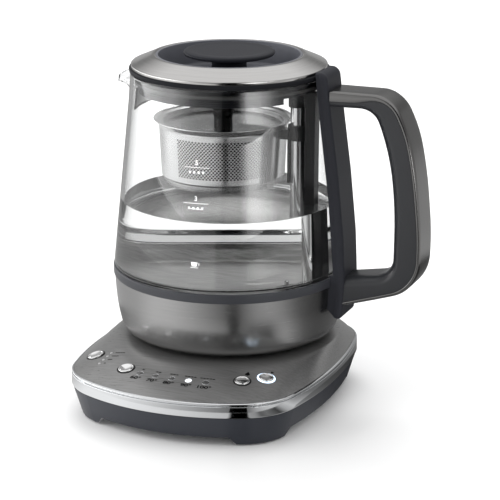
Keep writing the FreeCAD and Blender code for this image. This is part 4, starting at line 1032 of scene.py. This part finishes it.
ring_radius, _, ring_top = extent("lid_ring")
lid_cone = turned([
    (ring_radius - 1.2, edge_top), (ring_radius, edge_top, 0.15), (ring_radius, 228.5, 0.5),
    (bowl_radius + 2.0, ring_top - 0.1, 1.2), (bowl_radius + HAIR, ring_top - 0.5, 0.3),
    (bowl_radius + HAIR, ring_top - 2.4), (bowl_radius + 1.2, ring_top - 2.4),
    (bowl_radius + 1.2, ring_top - 1.4), (ring_radius - 1.2, 227.4)], 240)
lid_steel = brushed("lid_steel", grey(0.52, 0.015), 0.16, (20, 20, 1500), 0.04)
piece("lid_cone", lid_cone, lid_steel, "lid", ["lid_ring"])

knob_radius, _, knob_top = extent("lid_knob")
stem_radius = BORE - 0.08
knob = turned([
    (0, BOWL_FLOOR + 7), (stem_radius, BOWL_FLOOR + 7), (stem_radius, BOWL_FLOOR), (12, BOWL_FLOOR),
    (13, BOWL_FLOOR + 1, 0.4), (11.5, knob_top - 9, 1.5), (14.5, knob_top - 5.4, 1.6),
    (knob_radius - 1.4, knob_top - 3.6, 0.8), (knob_radius, knob_top - 2.4, 0.9),
    (knob_radius - 0.6, knob_top - 0.7, 0.8), (knob_radius - 2.8, knob_top, 1.2),
    (knob_radius - 8, knob_top - 0.5, 2.0), (0, knob_top - 0.9)], 180)
knob_polymer = moulded("knob_polymer", (0.016, 0.017, 0.022), 0.46, 0.10, specular_ior_level=0.2)
piece("knob", knob, knob_polymer, "lid", ["lid_knob"])

# ------------------------------------------------------------------- water
# Plain water, filled to a little over half the jug's height. It wets the floor dish and the
# glass. Its upper surface is painted a little darker, a painted reflection of the basket above
# it. The light of the lamps goes straight through water and glass.

WATER_LEVEL, WETTING = 136.3, 0.1


def inner_radius(height):
    """Inner radius of the glass at a height above its shoulder."""
    share = (height - SHOULDER_LEVEL) / (WAIST_LEVEL - SHOULDER_LEVEL)
    return SHOULDER_RADIUS + (WAIST_RADIUS - SHOULDER_RADIUS) * share - GLASS_WALL


foot_wall = FOOT_RADIUS - GLASS_WALL + WETTING
water = turned([
    (0, floor_level - 0.4), (61.2, floor_level - 0.4, 2.0), (66.3, floor_level + 2.3, 2.0),
    (FOOT_RADIUS - 4.4, 81.0, 1.0), (FOOT_RADIUS - 3.6, 84.3), (foot_wall, 84.4), (foot_wall, 90.8),
    (SHOULDER_RADIUS - GLASS_WALL + WETTING, 92.6),
    (inner_radius(WATER_LEVEL) + WETTING, WATER_LEVEL + 0.5, 0.4),
    (inner_radius(WATER_LEVEL) - 1.2, WATER_LEVEL, 0.8), (0, WATER_LEVEL)], 200)


def clear_where(finish, share):
    """Let light straight through a finish: not at all at a share of 0, and fully at 1."""
    clear = finish.node("ShaderNodeBsdfTransparent", {}, {})
    solid = Signal(finish, finish.shader.outputs["BSDF"])
    mixed = finish.node("ShaderNodeMixShader", {}, {0: share, 1: solid, 2: clear})
    finish.feed(finish.nodes["Material Output"].inputs["Surface"], mixed)


clear_water = Finish("water", base_color=(0.985, 0.985, 0.98, 1.0), roughness=0.0,
                     transmission_weight=1.0, ior=1.333)
# The grey tint of the water's top is a painted reflection of the basket above it.
water_top_painted_reflection = Finish("water_top_painted_reflection", base_color=grey(0.68), roughness=0.0,
                    transmission_weight=1.0, ior=1.333)
for finish in (clear_water, water_top_painted_reflection, clear_glass):
    clear_where(finish, finish.node("ShaderNodeLightPath", {}, {}, "Is Shadow Ray"))
water_piece = piece("water", water, clear_water, "jug")
water_piece.data.materials.append(water_top_painted_reflection.material)
for face in water_piece.data.polygons:
    if face.normal.z > 0.9 and face.center.z > (WATER_LEVEL - 1) * MM:
        face.material_index = 1

# ------------------------------------------------------------ printed marks
# Ceramic print fired on to the glass: level lines with plain numbers. Dark print on the
# deck: plain numbers and small pictograms beside the lights.

# The white print's emission is a painted glow: it makes the print shine brighter than the lamps
# alone would.
glass_print_painted_glow = Finish("glass_print_painted_glow", base_color=grey(0.9), roughness=0.5, emission_color=grey(1.0),
                     emission_strength=0.25)
deck_print = Finish("deck_print", base_color=grey(0.006), roughness=1.0, specular_ior_level=0.0)
CAP_HEIGHT, BOLDNESS = 0.7, 0.035


def written(words, height, wide=1.0):
    """Plain numbers as a flat mesh, centred on the origin."""
    curve = bpy.data.curves.new("numbers", "FONT")
    curve.body = words
    curve.size = height * MM / CAP_HEIGHT
    curve.offset = height * MM * BOLDNESS
    curve.align_x = "CENTER"
    curve.align_y = "CENTER"
    holder = bpy.data.objects.new("numbers", curve)
    bpy.context.scene.collection.objects.link(holder)
    bpy.context.view_layer.update()
    shaped = holder.evaluated_get(bpy.context.evaluated_depsgraph_get())
    mesh = bpy.data.meshes.new_from_object(shaped)
    bm = bmesh.new()
    bm.from_mesh(mesh)
    bpy.data.objects.remove(holder)
    bpy.data.meshes.remove(mesh)
    bmesh.ops.remove_doubles(bm, verts=bm.verts[:], dist=1e-6)
    bmesh.ops.scale(bm, vec=(wide, 1, 1), verts=bm.verts[:])
    return bm


def bar(width, height, x=0.0, y=0.0):
    """A flat bar, in millimetres, cut into short lengths so that it bends."""
    bm = bmesh.new()
    bmesh.ops.create_grid(bm, x_segments=12, y_segments=1, size=0.5)
    bmesh.ops.scale(bm, vec=(width * MM, height * MM, 1), verts=bm.verts[:])
    bmesh.ops.translate(bm, vec=(x * MM, y * MM, 0), verts=bm.verts[:])
    return bm


def outline_mark(points):
    """A flat filled mark from its outline in millimetres."""
    bm = bmesh.new()
    bm.faces.new([bm.verts.new((x * MM, y * MM, 0)) for x, y in points])
    return bm


def leaf(x):
    """A pointed leaf, two millimetres long."""
    points = []
    for i in range(16):
        across, up = math.cos(2 * math.pi * i / 16), math.sin(2 * math.pi * i / 16)
        points.append((x + across, 0.45 * up * abs(up)**0.4))
    return outline_mark(points)


def print_on(marks, parts, place):
    """Join flat shapes, lay them on a surface and add them to its marks."""
    joined = bmesh.new()
    for part in parts:
        merge_into(joined, part)
    for vert in joined.verts:
        vert.co = place(vert.co.x, vert.co.y)
    bmesh.ops.recalc_face_normals(joined, faces=joined.faces[:])
    merge_into(marks, joined)


MARK_ANGLE = math.radians(-84.5)
GLASS_FILM, DECK_FILM = 0.06 * MM, 0.14 * MM


def on_glass(level):
    """Lay a mark on the outside of the glass at a height in millimetres."""
    def place(x, y):
        height = level + y / MM
        radius = (inner_radius(height) + GLASS_WALL) * MM + GLASS_FILM
        way = MARK_ANGLE + x / radius
        return Vector((radius * math.cos(way), radius * math.sin(way), height * MM))
    return place


level_marks = bmesh.new()
for number, level in (("5", 176.0), ("3", 152.6)):
    dashes = [bar(1.4, 1.6, -4.5 + 3.0 * i, -6.2) for i in range(4)]
    print_on(level_marks, [written(number, 3.0), bar(17, 0.35, 0, -3.0)], on_glass(level))
    print_on(level_marks, dashes, on_glass(level))
print_on(level_marks, [bar(8, 0.5)], on_glass(146.0))
cup = outline_mark([(-2.4, 1.4), (-1.6, -1.4), (1.6, -1.4), (2.4, 1.4)])
print_on(level_marks, [cup, bar(5.4, 0.4, 0, -2.2), bar(0.5, 1.6, 3.2, 0.2)], on_glass(109.5))
piece("level_marks", level_marks, glass_print_painted_glow, "jug")


def on_deck(x, y, turn):
    """Lay a mark on the deck at a place in millimetres, turned by an angle."""
    def place(mark_x, mark_y):
        here_x = x * MM + mark_x * math.cos(turn) - mark_y * math.sin(turn)
        here_y = y * MM + mark_x * math.sin(turn) + mark_y * math.cos(turn)
        return Vector((here_x, here_y, deck_height(here_x, here_y) + DECK_FILM))
    return place


panel_marks = bmesh.new()
TEMPERATURES = ("60", "70", "80", "90", "100")
for i, (x, y) in enumerate(window_places):
    turn = math.atan(2 * WINDOW_CURVE * x)
    down = Vector((math.sin(turn), -math.cos(turn)))
    label = written(TEMPERATURES[i] + "\u00b0", 2.9, 1.3)
    leaves = [leaf(2.1 * (j - i / 2)) for j in range(i + 1)]
    for parts, step in (([label], 5.6), (leaves, -4.6)):
        print_on(panel_marks, parts, on_deck(x + down.x * step, y + down.y * step, turn))
for i, (x, y) in enumerate(pill_places):
    dashes = [bar(1.5, 0.7, 1.7 * j) for j in range(4 - i)]
    print_on(panel_marks, dashes, on_deck(x + 4.0, y, 0.1))
drop = [(1.6 * math.sin(i * math.pi / 8), -1.6 * math.cos(i * math.pi / 8)) for i in range(-6, 7)]
x, y = BUTTONS["hot_water_button"]
print_on(panel_marks, [outline_mark(drop + [(0, 3.4)])], on_deck(x, y + 9.0, 0.2))
arrow = [(-0.9, -1.2), (1.3, 0), (-0.9, 1.2)]
x, y = BUTTONS["start_button"]
print_on(panel_marks, [outline_mark(arrow)], on_deck(x + 1.0, y + 8.4, 0.3))
piece("panel_marks", panel_marks, deck_print, "power_base")

# ------------------------------------------------------------------ studio
# A plain pale floor under soft lamps, in a white surround. Rings that show only in
# reflections stand for the boards and flags of a studio. Nothing here is part of the machine.

floor_plane = bmesh.new()
bmesh.ops.create_grid(floor_plane, x_segments=1, y_segments=1, size=6)
placed("floor", floor_plane, Finish("floor", base_color=grey(0.95), roughness=0.8))

# Brightness of the surround as it lights matt surfaces. Then its brightness in reflections,
# as (height, brightness): it rises from the first height to the second.
DIFFUSE_LEVEL = 0.95
HORIZON, OVERHEAD = (0.30, 0.26), (0.66, 1.05)
world = bpy.data.worlds.new("surround")
world.cycles.sampling_method = "NONE"
bpy.context.scene.world = world
surround = NodeTree(world)


def ray(fact):
    """What is known of a ray that reaches the surround."""
    return surround.node("ShaderNodeLightPath", {}, {}, fact)


seen = surround.node("ShaderNodeMath", {"operation": "MAXIMUM"}, {
    0: ray("Is Camera Ray"), 1: ray("Is Transmission Ray")})
direct = surround.node("ShaderNodeMix", {}, {"Factor": seen, "A": DIFFUSE_LEVEL, "B": 1.0})
direction = surround.node("ShaderNodeTexCoord", {}, {}, "Generated")
rising = surround.node("ShaderNodeMapRange", {}, {
    "Value": surround.node("ShaderNodeSeparateXYZ", {}, {0: direction}, "Z"),
    "From Min": HORIZON[0], "From Max": OVERHEAD[0], "To Min": HORIZON[1], "To Max": OVERHEAD[1]})
strength = surround.node("ShaderNodeMix", {}, {
    "Factor": ray("Glossy Depth") > 0.5, "A": direct, "B": rising})
background = surround.nodes["Background"]
surround.feed(background.inputs["Strength"], strength)
surround.feed(background.inputs["Color"], (1, 1, 1, 1))

LAMP_AIM = Vector((0, 0, 0.1))


def softbox(name, place, size, power):
    """A soft lamp that reflections don't show."""
    lamp = bpy.data.lights.new(name, "AREA")
    lamp.shape = "RECTANGLE"
    lamp.size, lamp.size_y = size
    lamp.energy = power
    box = bpy.data.objects.new(name, lamp)
    box.location = place
    box.rotation_euler = (LAMP_AIM - Vector(place)).to_track_quat("-Z", "Y").to_euler()
    box.visible_glossy = False
    bpy.context.scene.collection.objects.link(box)


RING_STEPS, RING_STRENGTH = 96, 4.0


def studio_ring(name, near, far, stops, first=-180, last=180):
    """Part of the studio that shows only in reflections: a band round the machine between
    two circles, each (radius, height), whose brightness follows stops of (azimuth in
    degrees, brightness)."""
    bm = bmesh.new()
    ways = [math.radians(first + (last - first) * i / RING_STEPS) for i in range(RING_STEPS + 1)]
    inner, outer = ([bm.verts.new((radius * math.cos(way), radius * math.sin(way), height))
                     for way in ways] for radius, height in (near, far))
    for i in range(RING_STEPS):
        bm.faces.new((inner[i], inner[i + 1], outer[i + 1], outer[i]))
    finish = Finish(name, base_color=grey(0), specular_ior_level=0.0,
                    emission_strength=RING_STRENGTH)
    here = finish.place()
    across, along = (finish.node("ShaderNodeSeparateXYZ", {}, {0: here}, axis) for axis in "XY")
    azimuth = along.maths("ARCTAN2", along, across) * (0.5 / math.pi) + 0.5
    stops = [((way + 180) / 360, grey(brightness / RING_STRENGTH)) for way, brightness in stops]
    finish.set("Emission Color", finish.node("ShaderNodeValToRGB", {"stops": stops}, {0: azimuth}))
    clear_where(finish, finish.node("ShaderNodeLightPath", {}, {}, "Glossy Depth") < 0.5)
    card = placed(name, bm, finish)
    card.visible_camera = card.visible_diffuse = False
    card.visible_volume_scatter = card.visible_shadow = False


FLOOR, WALL = 0.0005, 1.60
LOW_WALL_TOP, HIGH_WALL_TOP = 0.134, 0.50
BLACK = [(-180, 0), (180, 0)]
WALL_LEFT = [(-180, 3.2), (-155, 3.7), (-132, 3.0), (-122, 2.0), (-112, 1.06), (-103, 0.6),
             (-93, 0.43), (-84, 0.27), (-76, 0.2)]
WALL_BACK = [(10, 0.5), (60, 0.35), (100, 0.42), (140, 0.5), (159, 2.5), (180, 3.2)]

softbox("left_softbox", (-1.3, -0.75, 0.75), (1.3, 1.3), 12)
softbox("back_softbox", (-0.3, 1.0, 1.5), (1.6, 1.0), 16)
studio_ring("floor_under_the_jug", (0.05, FLOOR), (0.125, FLOOR), [
    (-180, 0.2), (-161, 0.32), (-149, 0.5), (-139, 0.75), (-124, 0.87), (-111, 0.78), (-102, 0.5),
    (-90, 0.3), (-77, 0.2), (-61, 0.22), (-53, 0.42), (-36, 0.47), (-27, 0.42), (-19, 0.3),
    (-9, 0.18), (10, 0.09), (40, 0.05), (170, 0.08), (180, 0.2)])
studio_ring("floor_by_the_base", (0.125, FLOOR), (0.195, FLOOR), [
    (-180, 0.4), (-161, 0.6), (-148, 0.9), (-135, 1.15), (-115, 1.15), (-104, 1.05), (-86, 0.85),
    (-70, 0.66), (-68.8, 0.66), (-68.6, 0), (-59.8, 0), (-59.6, 0.42), (-54, 0.35), (-50, 0.13),
    (-45, 0.2), (-35, 0.06), (-28, 0.5), (-20, 0.7), (-10, 0.4), (0, 0.2), (15, 0.15), (70, 0.2),
    (171, 0.3), (180, 0.4)])
studio_ring("near_floor", (0.195, FLOOR), (0.40, FLOOR), [
    (-180, 0.7), (-160, 0.80), (-150, 0.95), (-138, 1.12), (-121, 1.08), (-113, 0.98), (-106, 0.86),
    (-98, 0.72), (-91, 0.58), (-84, 0.46), (-77, 0.34), (-69, 0.22), (-64, 0.15), (-58, 0.25),
    (-50, 0.50), (-43, 0.64), (-36, 0.72), (-30, 0.68), (-22, 0.54), (-14, 0.34), (-6, 0.20),
    (4, 0.13), (13, 0.09), (23, 0.06), (35, 0.06), (50, 0.11), (70, 0.3), (180, 0.7)])
studio_ring("far_floor", (0.40, FLOOR), (0.60, FLOOR), [
    (-180, 0.85), (-168, 0.9), (-139, 0.92), (-114, 0.85), (-91, 0.78), (-69, 0.6), (-68.6, 0),
    (-59.8, 0), (-59.5, 0.5), (-47, 0.3), (-36, 0.22), (-24, 0.26), (-12, 0.4), (0, 0.6),
    (14, 0.8), (29, 0.85), (47, 0.75), (71, 0.4), (90, 0.3), (110, 0.3), (130, 0.4), (180, 0.85)])
studio_ring("floor_edge", (0.60, FLOOR), (WALL, FLOOR), [
    (-180, 1), (-100, 0.95), (-82, 0.8), (-79.5, 0), (-42.5, 0), (-41, 0.3), (-20, 0.4), (10, 0.8),
    (60, 0.6), (100, 0.35), (160, 0.4), (180, 1)])
studio_ring("low_wall", (WALL, FLOOR), (WALL, LOW_WALL_TOP), WALL_LEFT + [
    (-75, 0.0), (-61, 0.0), (-57, 0.1), (-52, 1.6), (-47, 4.4), (-40, 5.2), (-32, 4.0), (-24, 2.6),
    (-16, 1.2), (-8, 0.6)] + WALL_BACK)
studio_ring("high_wall", (WALL, LOW_WALL_TOP), (WALL, HIGH_WALL_TOP), WALL_LEFT + [
    (-75.5, 0), (-47, 0), (-46, 0.2), (-40, 0.26), (-31, 0.3), (-21, 0.5), (-11, 0.6)] + WALL_BACK)
studio_ring("band_flag", (0.195, 2 * FLOOR), (0.255, 2 * FLOOR), BLACK, -68.6, -59.8)
studio_ring("black_flag", (WALL, HIGH_WALL_TOP), (WALL, 1.70), BLACK, -76, -40)

camera = bpy.data.cameras.new("camera")
camera.lens = 144.8
camera.sensor_width = 36
camera.clip_start, camera.clip_end = 0.05, 50
camera_mount = bpy.data.objects.new("camera", camera)
camera_mount.location = (0.5183, -1.2228, 0.4959)
camera_mount.rotation_euler = (math.radians(73.28), 0, math.radians(22.37))
bpy.context.scene.collection.objects.link(camera_mount)
bpy.context.scene.camera = camera_mount
bpy.context.scene.view_settings.view_transform = "Standard"
